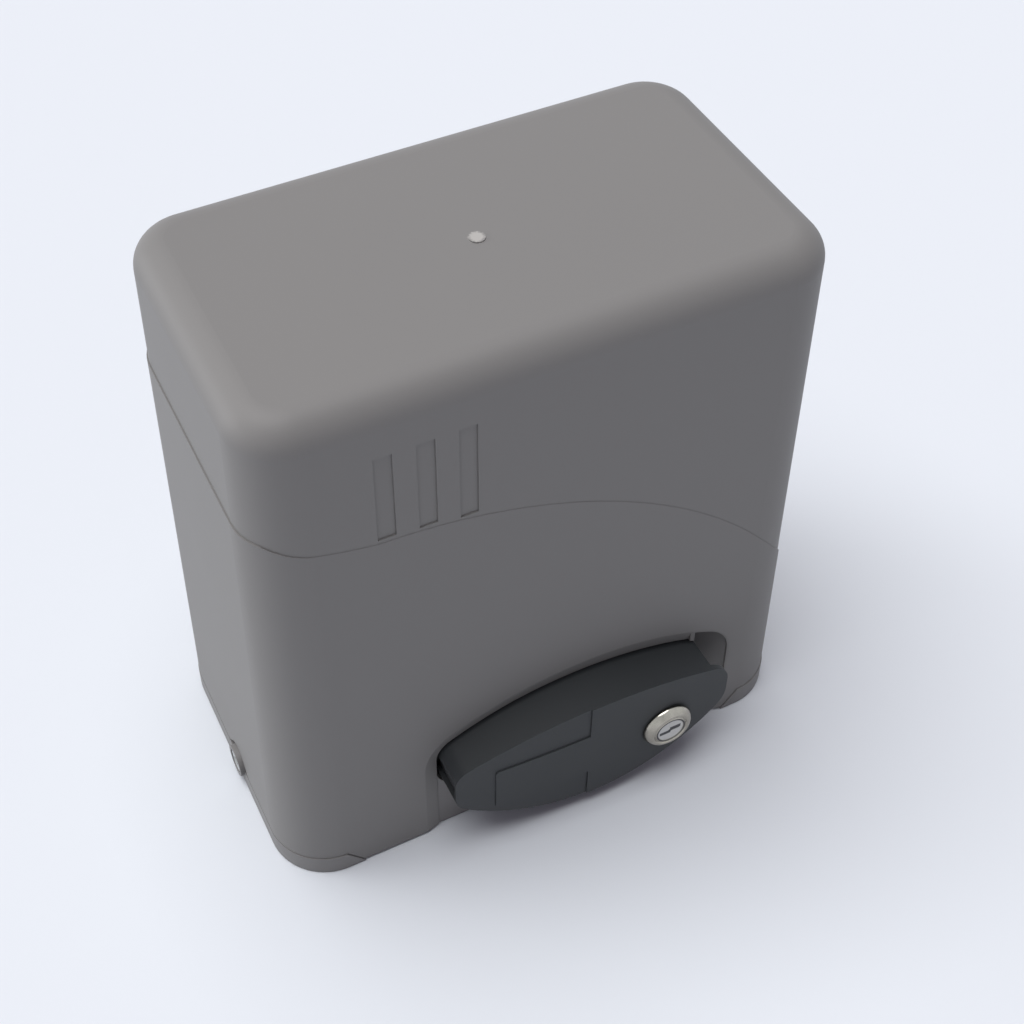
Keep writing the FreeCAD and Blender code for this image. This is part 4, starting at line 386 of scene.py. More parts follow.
FINISHES: tuple[Finish, ...] = (
    BlushedFinish("cover grey", (0.208, 0.203, 0.198), rough=0.54, mottle=0.035, patch=14.0, grain=2600.0,
                  depth=0.16, gloss=0.3),
    Finish("lever black", (0.022, 0.0245, 0.027), rough=0.55, mottle=0.07, patch=22.0, grain=2300.0,
           depth=0.22, spread=0.12),
    Finish("base paint", (0.198, 0.193, 0.190), rough=0.55, mottle=0.08, patch=45.0, grain=700.0,
           depth=0.35, spread=0.18),
    Finish("die cast", (0.44, 0.45, 0.46), rough=0.46, metallic=0.85, mottle=0.12, patch=60.0, grain=900.0,
           depth=0.45, spread=0.22),
    TURNED_STEEL,
    replace(TURNED_STEEL, name="turned steel upright", lay=Lay.ROUND_Z),
    Finish("gear steel", (0.40, 0.41, 0.43), rough=0.32, metallic=1.0, mottle=0.14, patch=70.0,
           grain=3600.0, depth=0.25, spread=0.2, lay=Lay.ROUND_Y),
    Finish("worm steel", (0.43, 0.44, 0.46), rough=0.26, metallic=1.0, mottle=0.12, patch=80.0,
           grain=4200.0, spread=0.18, lay=Lay.ROUND_Z),
    Finish("zinc plate", (0.62, 0.63, 0.62), rough=0.34, metallic=1.0, mottle=0.16, patch=160.0,
           grain=1800.0, spread=0.22),
    Finish("rolled zinc", (0.60, 0.61, 0.60), rough=0.36, metallic=1.0, mottle=0.12, patch=40.0,
           grain=2600.0, spread=0.2, lay=Lay.ROLLED),
    # The lock chrome's dark warm tone and strong patchy mottle are painted reflections, standing in for what
    # the chrome would mirror.
    Finish("lock chrome with painted reflections", (0.40, 0.375, 0.325), rough=0.15, metallic=1.0, mottle=0.60, patch=240.0,
           grain=3000.0, depth=0.08, spread=0.12),
    Finish("lock face", (0.60, 0.59, 0.57), rough=0.30, metallic=1.0, mottle=0.08, patch=200.0,
           grain=4000.0, depth=0.15, spread=0.15, lay=Lay.ROLLED),
    Finish("gear bronze", (0.66, 0.42, 0.19), rough=0.34, metallic=1.0, mottle=0.14, patch=70.0,
           grain=3400.0, depth=0.25, spread=0.2, lay=Lay.ROUND_Y),
    STACK_SHEET,
    replace(STACK_SHEET, name="core sheet", turn=(math.pi / 2, 0.0, 0.0)),
    # The winding's dark groove colour is painted shade between the turns of wire.
    RidgedFinish("winding copper", (0.55, 0.22, 0.08), rough=0.30, metallic=0.6, mottle=0.22, patch=120.0,
                 per_metre=1100.0, groove_shade=(0.10, 0.03, 0.012), relief=1.0, coat=0.4),
    Finish("black rubber", (0.022, 0.022, 0.023), rough=0.62, mottle=0.12, patch=60.0, grain=1600.0,
           depth=0.3, spread=0.12),
    Finish("black plastic", (0.030, 0.031, 0.034), rough=0.42, mottle=0.08, patch=50.0, grain=1900.0,
           depth=0.22, spread=0.14),
    Finish("board green", (0.015, 0.135, 0.055), rough=0.32, mottle=0.10, patch=180.0, grain=900.0,
           depth=0.1, coat=0.35),
    Finish("terminal green", (0.02, 0.24, 0.09), rough=0.36, mottle=0.06, patch=80.0, depth=0.15),
    Finish("relay blue", (0.012, 0.045, 0.20), rough=0.28, patch=80.0, depth=0.1),
    Finish("pale plastic", (0.66, 0.65, 0.60), rough=0.34, patch=60.0, grain=1200.0, depth=0.12, coat=0.1),
    Finish("solder tin", (0.62, 0.62, 0.60), rough=0.22, metallic=1.0, mottle=0.12, patch=400.0,
           grain=1800.0, spread=0.15),
    Finish("chip tan", (0.42, 0.27, 0.14), rough=0.42, mottle=0.08, patch=300.0, grain=1800.0, depth=0.1),
    Finish("tape amber", (0.62, 0.40, 0.06), rough=0.30, mottle=0.06, patch=60.0, grain=900.0, depth=0.1,
           coat=0.3),
    Finish("sight oil", (0.52, 0.26, 0.05), rough=0.10, mottle=0.08, patch=90.0, grain=900.0, depth=0.02,
           coat=1.0),
    LAMP_RED,
    replace(LAMP_RED, name="lamp green", colour=(0.03, 0.42, 0.05)),
    # The brackets' dark tone is painted shade: it gives the dark seen through the opening behind the handle's
    # neck.
    Finish("bracket steel", (0.10, 0.10, 0.105), rough=0.42, metallic=0.6, mottle=0.10, patch=60.0,
           grain=1800.0, depth=0.25, spread=0.2),
    WIRE_BLACK,
    *(replace(WIRE_BLACK, name=name, colour=colour, rough=0.38)
      for name, colour in GLOSSY_WIRES.items()),
)


@cache
def material(name: str) -> bpy.types.Material:
    """Build a finish's material, once.

    Args:
        name: The finish's name.

    Returns:
        Its material.
    """
    return next(finish for finish in FINISHES if finish.name == name).build()


# ---- mesh helpers
class Piece:
    """A new mesh piece under construction: a bmesh, its finishes and its body."""

    def __init__(self, name: str, slot: str, *finishes: str, body: Body = Body.BASE) -> None:
        """Start an empty piece.

        Args:
            name: The piece's name.
            slot: The record's material slot; it is stored on the piece and not used.
            *finishes: Its materials, in order of index.
            body: The body it rides on.
        """
        self.name = name
        self.body = body
        self.slot = slot
        self.finishes = finishes
        self.mesh = bmesh.new()

    def soften(self, edges: list[bmesh.types.BMEdge], width: float) -> None:
        """Round some edges off.

        Args:
            edges: The edges.
            width: How wide the rounding is.
        """
        bmesh.ops.bevel(self.mesh, geom=edges, offset=width * MM, affect="EDGES", segments=2, profile=0.5,
                        material=-1)

    def spin(self, profile: Profile, place: Vector, axis: Vector, steps: int = 64, index: int = 0,
             start: float = 0.0, sweep: float = FULL_TURN) -> None:
        """Turn a profile round an axis.

        Args:
            profile: Radius and distance along the axis of each point.
            place: The axis's start.
            axis: The axis's direction.
            steps: Faces round the turn.
            index: The faces' material.
            start: Where the turn starts from the right, or from the front for an axis along X.
            sweep: How far it goes.
        """
        right = -AXIS_Y if abs(axis.x) > 0.5 else AXIS_X
        side = Matrix.Rotation(math.radians(start), 3, axis) @ right
        verts = [self.mesh.verts.new((place + side * r + axis * d) * MM) for r, d in profile]
        edges = [self.mesh.edges.new(pair) for pair in zip(verts, verts[1:])]
        before = set(self.mesh.faces)
        bmesh.ops.spin(self.mesh, geom=verts + edges, cent=place * MM, axis=axis, angle=math.radians(sweep),
                       steps=steps, use_merge=sweep == FULL_TURN)
        bmesh.ops.remove_doubles(self.mesh, verts=self.mesh.verts[:], dist=WELD)
        for face in self.mesh.faces:
            if face not in before:
                face.material_index = index
                face.smooth = True

    def block(self, low: Place, high: Place, bevel: float, index: int = 0) -> None:
        """Add a block with softened edges.

        Args:
            low: Its lowest corner.
            high: Its highest corner.
            bevel: Width of the softening.
            index: Its material.
        """
        made = bmesh.ops.create_cube(self.mesh, size=1.0)["verts"]
        low_v, high_v = Vector(low), Vector(high)
        bmesh.ops.scale(self.mesh, vec=(high_v - low_v) * MM, verts=made)
        bmesh.ops.translate(self.mesh, vec=(low_v + high_v) * 0.5 * MM, verts=made)
        for face in {f for v in made for f in v.link_faces}:
            face.material_index = index
        self.soften(list({e for v in made for e in v.link_edges}), bevel)

    def bar(self, radius: float, start: Place, end: Place, sides: int, bevel: float = 0.0,
            index: int = 0) -> None:
        """Add a round bar.

        Args:
            radius: Its radius.
            start: The middle of one end.
            end: The middle of the other.
            sides: Faces round it.
            bevel: Softening of its ends, or 0 to leave them sharp.
            index: Its material.
        """
        a, b = Vector(start), Vector(end)
        made = bmesh.ops.create_cone(self.mesh, cap_ends=True, segments=sides, radius1=radius * MM,
                                     radius2=radius * MM, depth=(b - a).length * MM)["verts"]
        turn = AXIS_Z.rotation_difference(b - a).to_matrix()
        bmesh.ops.rotate(self.mesh, cent=(0, 0, 0), matrix=turn, verts=made)
        bmesh.ops.translate(self.mesh, vec=(a + b) * 0.5 * MM, verts=made)
        for face in {f for v in made for f in v.link_faces}:
            face.material_index = index
            face.smooth = len(face.verts) == 4
        if bevel:
            self.soften([e for e in {e for v in made for e in v.link_edges}
                         if any(len(f.verts) > 4 for f in e.link_faces)], bevel)

    def done(self, *replaced: str) -> None:
        """Turn the bmesh into an object on its body.

        Args:
            *replaced: CAD nodes that the piece stands for.
        """
        bmesh.ops.recalc_face_normals(self.mesh, faces=self.mesh.faces[:])
        data = bpy.data.meshes.new(self.name)
        self.mesh.to_mesh(data)
        self.mesh.free()
        made = bpy.data.objects.new(self.name, data)
        bpy.context.scene.collection.objects.link(made)
        for finish in self.finishes:
            data.materials.append(material(finish))
        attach(made, self.body.value)
        if replaced:
            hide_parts(*replaced)
        LOG.info("%s rides on %s with %d faces", self.name, self.body.value, len(data.polygons))


def wire(name: str, finish: str, radius: float, places: Sequence[Place]) -> None:
    """Lay a wire along a smooth line on the base.

    Args:
        name: The piece's name.
        finish: Its finish.
        radius: Its radius.
        places: The line's control points.
    """
    data = bpy.data.curves.new(name, "CURVE")
    data.dimensions = "3D"
    data.bevel_depth = radius * MM
    data.bevel_resolution = 3
    data.resolution_u = 8
    data.use_fill_caps = True
    line = data.splines.new("NURBS")
    line.points.add(len(places) - 1)
    for point, place in zip(line.points, places):
        point.co = (*(Vector(place) * MM), 1.0)
    line.order_u = 3
    line.use_endpoint_u = True
    data.materials.append(material(finish))
    made = bpy.data.objects.new(name, data)
    bpy.context.scene.collection.objects.link(made)
    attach(made, Body.BASE.value)
    LOG.info("%s is a wire of %d points", name, len(places))


def box_mm(node: str) -> tuple[Vector, Vector]:
    """Return a part's lowest and highest corners.

    Args:
        node: The part's name.

    Returns:
        The two corners.
    """
    low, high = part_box(node)
    return low / MM, high / MM


# ---- sub-assemblies
TERMINAL_BLOCKS, TERMINAL_WAYS, TERMINAL_GAP = 3, 4, 2.0


def terminal_ways() -> list[float]:
    """Find the terminals.

    Returns:
        The place of each terminal's middle along X.
    """
    low, high = box_mm("terminal_blocks")
    pitch = (high.x - low.x + TERMINAL_GAP) / TERMINAL_BLOCKS
    way = (pitch - TERMINAL_GAP) / TERMINAL_WAYS
    return [low.x + block * pitch + (k + 0.5) * way for block in range(TERMINAL_BLOCKS)
            for k in range(TERMINAL_WAYS)]


@dataclass
class LockFace:
    """The lock's domed chrome rosette, and a black zigzag that paints the shade in its keyway.

    Attributes:
        rim: Radius and depth of the rosette's points, from its front.
        ring: Radius and depth of the points of the dark ring round the plug.
        slot_half: Half the keyway's length.
        slot_width: Its width.
        slot_step: How far its two halves are offset.
        slot_lift: How far it stands above the lock's middle.
        slot_lap: How far its two halves run into each other.
        slot_depth: How far it stands out of the plug, and goes into it.
    """

    rim: Profile = (
        (6.9, 31.5), (6.9, 0.25), (8.1, 0.25), (8.2, 0.75), (8.75, 0.75), (8.85, 0.3), (9.1, 0.1), (9.6, 0.0),
        (10.2, 0.12), (10.9, 0.5), (11.6, 1.1), (12.2, 1.9), (12.7, 2.8), (12.95, 3.5), (13.0, 4.25),
        (8.95, 4.25), (8.95, 31.5), (6.9, 31.5))
    # A thin black ring on the rosette's inner step: painted shade for the groove round the plug.
    ring: Profile = ((7.0, 0.3), (7.0, 0.2), (7.75, 0.2), (7.75, 0.3))
    slot_half: float = 5.4
    slot_width: float = 2.3
    slot_step: float = 1.9
    slot_lift: float = 0.3
    slot_lap: float = 0.6
    slot_depth: tuple[float, float] = (0.06, 0.4)

    def build(self) -> None:
        """Make the rosette and the keyway's painted shade."""
        low, high = box_mm("lock_body")
        front = Vector(((low.x + high.x) / 2, low.y, (low.z + high.z) / 2))
        # The rosette's chrome carries painted reflections in its colour.
        rosette = Piece("lock_rosette", "chrome", "lock chrome with painted reflections", "black plastic", body=Body.HANDLE)
        rosette.spin(self.rim, front, AXIS_Y, steps=72)
        # The black ring round the plug is painted shade of its groove.
        rosette.spin(self.ring, front, AXIS_Y, 72, 1)
        rosette.done("lock_body")
        # The keyway is not cut: a black zigzag standing slightly out of the plug paints the shade in it.
        keyway = Piece("keyway_painted_shade", "dark_plastic", "black plastic", body=Body.LOCK)
        face = box_mm("lock_plug")[0].y
        out, deep = self.slot_depth
        half = self.slot_width / 2
        for side in (-1, 1):
            x0, x1 = sorted((front.x, front.x + side * self.slot_half))
            z = front.z + side * self.slot_step / 2 + self.slot_lift
            keyway.block((x0 - self.slot_lap, face - out, z - half), (x1, face + deep, z + half), 0.2)
        keyway.done()


@dataclass
class GearboxDress:
    """The gear cover's gasket, oil plug and sight glass.

    Attributes:
        gasket: How far the gasket goes in and out from the cover's rim, and half its thickness.
        gasket_turn: Where it starts round the axis, and how far it goes.
        plug_turn: Where the plug stands round the axis from the right.
        plug: Radius, start, end, sides, softening and material of its washer, collar and hexagon.
        glass_turn: Where the sight glass stands.
        glass_rim: Radius and height of the points of the glass's frame.
        glass_dome: Radius and height of the glass's points.
        radius: How far out the plug and the glass stand.
        face_in: How far their seat lies behind the cover's foremost point.
    """

    gasket: tuple[float, float, float] = (-0.6, 0.25, 0.4)
    gasket_turn: tuple[float, float] = (62.0, -304.0)
    plug_turn: float = 128.0
    plug: tuple[tuple[float, float, float, int, float, int], ...] = (
        (7.2, 0.0, 1.0, 40, 0.25, 1), (6.6, 1.0, 2.2, 40, 0.3, 0), (5.2, 2.2, 6.4, 6, 0.5, 0))
    glass_turn: float = 52.0
    glass_rim: Profile = ((4.6, 0.0), (7.4, 0.0), (7.4, 1.8), (6.6, 2.6), (5.2, 2.6), (4.6, 1.8))
    glass_dome: Profile = ((0.0, 2.1), (2.6, 2.0), (4.2, 1.6), (4.7, 1.2))
    radius: float = 35.0
    face_in: float = 3.0

    def build(self) -> None:
        """Make the three pieces."""
        low, high = box_mm("gear_cover")
        shaft = box_mm("output_shaft")
        middle = Vector(((shaft[0].x + shaft[1].x) / 2, high.y, (shaft[0].z + shaft[1].z) / 2))
        near, far = ((high.x - low.x) / 2 + step for step in self.gasket[:2])
        half = self.gasket[2]
        gasket = Piece("gearbox_gasket", "rubber", "black rubber")
        gasket.spin([(near, -half), (far, -half), (far, half), (near, half)], middle, AXIS_Y, 80, 0,
                    *self.gasket_turn)
        gasket.done()
        plug_place, glass_place = (
            Vector((middle.x + self.radius * math.cos(math.radians(turn)), low.y + self.face_in,
                    middle.z + self.radius * math.sin(math.radians(turn))))
            for turn in (self.plug_turn, self.glass_turn))
        plug = Piece("oil_plug", "zinc_steel", "zinc plate", "black rubber")
        for radius, start, end, sides, bevel, index in self.plug:
            plug.bar(radius, plug_place - AXIS_Y * start, plug_place - AXIS_Y * end, sides, bevel, index)
        plug.done()
        glass = Piece("oil_sight_glass", "bronze", "gear bronze", "sight oil")
        glass.spin(self.glass_rim, glass_place, -AXIS_Y, 40)
        glass.spin(self.glass_dome, glass_place, -AXIS_Y, 40, 1)
        glass.done()


@dataclass
class MotorDress:
    """The motor's blank riveted plate, and the grommet that its leads come out of.

    Attributes:
        plate_turn: Where the plate starts round the stack, from the right, and how far it goes.
        plate_half: Half its height.
        plate_skin: How far its two faces stand off the stack.
        inset: How far its rivets stand from its edges, in degrees round it and in millimetres along it.
        rivet_seat: How far the rivets' feet stand off the stack.
        rivet: Radius and height of a rivet's points.
        lead_turn: Where the leads come out from the right.
        lead_lift: How far up the end bell they come out.
        grommet: Radius and height of the grommet's points.
        grommet_in: How far its foot lies inside the stack's radius.
    """

    plate_turn: tuple[float, float] = (-134.0, 40.0)
    plate_half: float = 15.0
    plate_skin: tuple[float, float] = (0.1, 0.55)
    inset: float = 2.5
    rivet_seat: float = 0.5
    rivet: Profile = ((0.0, 0.7), (0.6, 0.55), (1.0, 0.25), (1.15, 0.0))
    lead_turn: float = -38.0
    lead_lift: float = 9.0
    grommet: Profile = ((0.0, 5.5), (2.6, 5.5), (3.0, 5.2), (3.2, 3.0), (4.8, 3.0), (5.2, 2.6), (5.2, 0.0))
    grommet_in: float = 1.0

    def build(self) -> None:
        """Make the plate, its rivets and the grommet."""
        low, high = box_mm("stator_stack")
        middle = Vector(((low.x + high.x) / 2, (low.y + high.y) / 2, (low.z + high.z) / 2))
        radius = (high.x - low.x) / 2
        near, far = (radius + step for step in self.plate_skin)
        half = self.plate_half
        plate = Piece("rating_plate", "steel", "rolled zinc", "zinc plate")
        start, sweep = self.plate_turn
        plate.spin([(near, -half), (far, -half), (far, half), (near, half)], middle, AXIS_Z, 20, 0, start,
                   sweep)
        for turn in (start + self.inset, start + sweep - self.inset):
            for z in (-half + self.inset, half - self.inset):
                out = Matrix.Rotation(math.radians(turn), 3, AXIS_Z) @ AXIS_X
                plate.spin(self.rivet, middle + out * (radius + self.rivet_seat) + AXIS_Z * z, out, 12, 1)
        plate.done()
        grommet = Piece("motor_grommet", "rubber", "black rubber")
        bell = box_mm("upper_end_bell")
        out = Matrix.Rotation(math.radians(self.lead_turn), 3, AXIS_Z) @ AXIS_X
        foot = Vector((middle.x, middle.y, bell[0].z + self.lead_lift))
        grommet.spin(self.grommet, foot + out * (radius - self.grommet_in), out, 32)
        grommet.done()


@dataclass
class BoardDress:
    """The control board's small parts, at places counted from its lower left corner.

    Attributes:
        chip: Half the size of a chip part.
        tin: Half the size of its tinned ends, which stand tin_out from its middle.
        levers: Levers in the row of slide switches, lever_pitch apart.
        buttons: The push buttons' places along the board, button_z up it.
        trimmers: The trimmers' places along it, trimmer_z up it.
        lamp: Radius and height of a lamp's points.
        lamp_row: Where the row of lamps starts, its pitch and its number of lamps.
        choke: Middle of the choke's ring of wire, as radius and height, and half its section.
        disc: Radius and width of the suppressor's points.
        pins: Where the header's pins start up the board, their pitch and their number.
        corner: The board's lower left corner, on its face.
    """

    chip: tuple[float, float] = (1.0, 0.62)
    tin: tuple[float, float] = (0.28, 0.66)
    tin_out: float = 1.05
    levers: int = 8
    lever_pitch: float = 2.25
    buttons: tuple[float, ...] = (40.0, 50.0, 60.0)
    button_z: float = 114.0
    trimmers: tuple[float, ...] = (14.0, 25.0)
    trimmer_z: float = 112.0
    lamp: Profile = ((1.75, 0.0), (1.75, 0.7), (1.5, 0.9), (1.5, 2.6), (1.3, 3.3), (0.8, 3.85), (0.0, 4.1))
    lamp_row: tuple[float, float, int] = (54.0, 4.6, 5)
    choke: tuple[float, float, float, float] = (4.4, 3.4, 2.4, 2.6)
    disc: Profile = ((0.0, 0.0), (4.2, 0.0), (5.0, 0.8), (5.0, 2.0), (4.2, 2.8), (0.0, 2.8))
    pins: tuple[float, float, int] = (98.0, 2.54, 6)
    corner: Vector = field(init=False)

    def build(self) -> None:
        """Populate the board."""
        self.corner = box_mm("control_board")[0]
        self.resistors()
        self.switches()
        self.lamps()
        self.terminal_screws()
        self.large_parts()

    def at(self, x: float, out: float, z: float) -> Vector:
        """Find a place over the board.

        Args:
            x: How far it is from the board's left edge.
            out: How far it stands out from the board.
            z: How far it is from the board's foot.

        Returns:
            The place.
        """
        return Vector((self.corner.x + x, self.corner.y - out, self.corner.z + z))

    def part(self, piece: Piece, x: float, z: float, half: tuple[float, float], height: float, bevel: float,
             index: int = 0) -> None:
        """Add a block that stands on the board.

        Args:
            piece: The piece to add it to.
            x: Its middle, from the board's left edge.
            z: Its middle, from its foot.
            half: Half its width and height on the board.
            height: How far it stands out.
            bevel: Softening of its edges.
            index: Its material.
        """
        piece.block(self.at(x - half[0], height, z - half[1]), self.at(x + half[0], 0.0, z + half[1]), bevel,
                    index)

    def resistors(self) -> None:
        """Rows of chip resistors and capacitors with tinned ends."""
        rows = Piece("board_chip_parts", "dark_plastic", "black plastic", "solder tin", "chip tan")
        spots = [(80.0 + 4.0 * (i % 2), 26.0 + 3.6 * i) for i in range(14)]
        spots += [(36.0 + 4.2 * i, 64.0) for i in range(6)] + [(18.0 + 5.0 * i, 92.0) for i in range(8)]
        spots += [(16.0 + 5.4 * i, 122.0 + 3.0 * (i % 2)) for i in range(6)]
        for i, (x, z) in enumerate(spots):
            self.part(rows, x, z, self.chip, 0.55, 0.08, 2 if i % 3 == 0 else 0)
            for side in (-self.tin_out, self.tin_out):
                self.part(rows, x + side, z, self.tin, 0.6, 0.06, 1)
        rows.done()

    def switches(self) -> None:
        """A row of slide switches, three push buttons and two trimmers."""
        dips = Piece("board_switches", "relay", "wire red", "pale plastic", "black plastic",
                     "solder tin")
        self.part(dips, 38.0, 58.0, (10.4, 3.2), 3.4, 0.3)
        for i in range(self.levers):
            self.part(dips, 30.1 + self.lever_pitch * i, 58.6 - 1.2 * (i % 3 == 0), (0.55, 0.9), 3.9, 0.1, 1)
        for x in self.buttons:
            self.part(dips, x, self.button_z, (3.0, 3.0), 3.4, 0.25, 3)
            dips.bar(1.75, self.at(x, 3.2, self.button_z), self.at(x, 5.2, self.button_z), 24, 0.25, 2)
        for x in self.trimmers:
            self.part(dips, x, self.trimmer_z, (3.6, 3.6), 4.6, 0.3, 1)
            dips.bar(1.9, self.at(x, 4.4, self.trimmer_z), self.at(x, 5.1, self.trimmer_z), 24, 0.2, 3)
            dips.block(self.at(x - 1.5, 5.25, self.trimmer_z - 0.25),
                       self.at(x + 1.5, 5.0, self.trimmer_z + 0.25), 0.05, 2)
        dips.done()

    def lamps(self) -> None:
        """The status lamps: domed, in a row, red and green in turn."""
        row = Piece("board_lamps", "light_plastic", "lamp red", "lamp green")
        start, pitch, count = self.lamp_row
        for i in range(count):
            row.spin(self.lamp, self.at(start + pitch * i, 0.0, 58.0), -AXIS_Y, 20, i % 2)
        row.done()

    @staticmethod
    def terminal_screws() -> None:
        """Slotted screws in the terminal blocks' holes."""
        screws = Piece("terminal_screws", "zinc_steel", "zinc plate", "black plastic")
        low = box_mm("terminal_blocks")[0]
        z = low.z + 6.0
        for x in terminal_ways():
            screws.bar(1.45, (x, low.y + 2.6, z), (x, low.y + 1.2, z), 20, 0.15)
            screws.block((x - 1.3, low.y + 1.1, z - 0.22), (x + 1.3, low.y + 1.3, z + 0.22), 0.03, 1)
        screws.done()

    def large_parts(self) -> None:
        """The choke, the suppressor, the crystal, a capped pin header and a pale block at the right."""
        big = Piece("board_large_parts", "dark_plastic", "black plastic", "winding copper",
                    "solder tin", "wire blue", "pale plastic")
        radius, height, wide, high_half = self.choke
        ring = [(radius + wide * math.cos(a), height + high_half * math.sin(a))
                for a in (math.tau * i / 16 for i in range(17))]
        big.spin(ring, self.at(72.0, 0.0, 118.0), -AXIS_Y, 40, 1)
        big.spin(self.disc, self.at(84.0 - 1.4, 7.0, 88.0), AXIS_X, 32, 3)
        for z in (85.5, 90.5):
            big.bar(0.35, self.at(84.0, 0.0, z), self.at(84.0, 4.0, z), 8, 0.0, 2)
        self.part(big, 32.0, 84.0, (5.2, 1.8), 3.6, 0.9, 2)
        self.part(big, 78.0, 104.0, (2.4, 7.6), 2.5, 0.2)
        start, pitch, count = self.pins
        for z in (start + pitch * i for i in range(count)):
            big.bar(0.32, self.at(78.0, 2.0, z), self.at(78.0, 8.4, z), 8, 0.08, 2)
        big.block(self.at(78.0 - 1.2, 8.6, 100.54 - 1.2), self.at(78.0 + 1.2, 2.6, 100.54 + 3.74), 0.25, 3)
        right = box_mm("control_board")[1].x - self.corner.x
        self.part(big, right - 8.0, 78.0, (3.2, 3.2), 2.6, 0.3, 4)
        big.done()


@dataclass
class PowerDress:
    """The transformer's bobbin, tape and tags, and the capacitor's crimped top and boots.

    Attributes:
        flange: Thickness of the bobbin's flanges.
        tags: Tags along the bobbin.
        tag_inset: How far the outer tags stand from its ends.
        top_in: How far the capacitor's crimp lies under its highest point.
        crimp: The crimp's points: how far each is in from the can's radius, and its height.
        boots: The boots' places across the capacitor.
        boot: Half a boot's width and depth.
    """

    flange: float = 1.3
    tags: int = 5
    tag_inset: float = 4.0
    top_in: float = 8.0
    crimp: Profile = ((4.0, 1.4), (3.2, 1.0), (3.0, -0.4))
    boots: tuple[float, float] = (-6.0, 6.0)
    boot: tuple[float, float] = (4.0, 2.0)

    def build(self) -> None:
        """Make the bobbin with its tape and tags, and the capacitor's top with its boots."""
        low, high = box_mm("transformer_coil")
        bobbin = Piece("transformer_bobbin", "dark_plastic", "black plastic", "solder tin",
                       "tape amber")
        for z in (low.z + 0.1, high.z - 0.1 - self.flange):
            bobbin.block((low.x + 0.1, low.y - 0.9, z), (high.x - 0.1, high.y + 0.9, z + self.flange), 0.4)
        bobbin.block((low.x + 3.0, low.y - 0.35, low.z + 8.0), (high.x - 3.0, low.y + 3.0, high.z - 8.0), 0.3,
                     2)
        pitch = (high.x - low.x - 2 * self.tag_inset) / (self.tags - 1)
        for i in range(self.tags):
            x = low.x + self.tag_inset + i * pitch
            bobbin.block((x - 0.5, low.y - 0.7, high.z - 1.4), (x + 0.5, low.y + 1.0, high.z + 2.6), 0.12, 1)
        bobbin.done()
        low, high = box_mm("run_capacitor")
        middle = Vector(((low.x + high.x) / 2, (low.y + high.y) / 2, high.z - self.top_in))
        radius = (high.x - low.x) / 2
        top = Piece("capacitor_top", "dark_plastic", "black plastic", "wire blue")
        top.spin([(0.0, self.crimp[0][1]), *((radius - step, z) for step, z in self.crimp)], middle, AXIS_Z,
                 48)
        wide, deep = self.boot
        for dx in self.boots:
            top.block((middle.x + dx - wide, middle.y - deep, middle.z + 1.2),
                      (middle.x + dx + wide, middle.y + deep, high.z + 4.0), 0.8, 1)
        top.done()


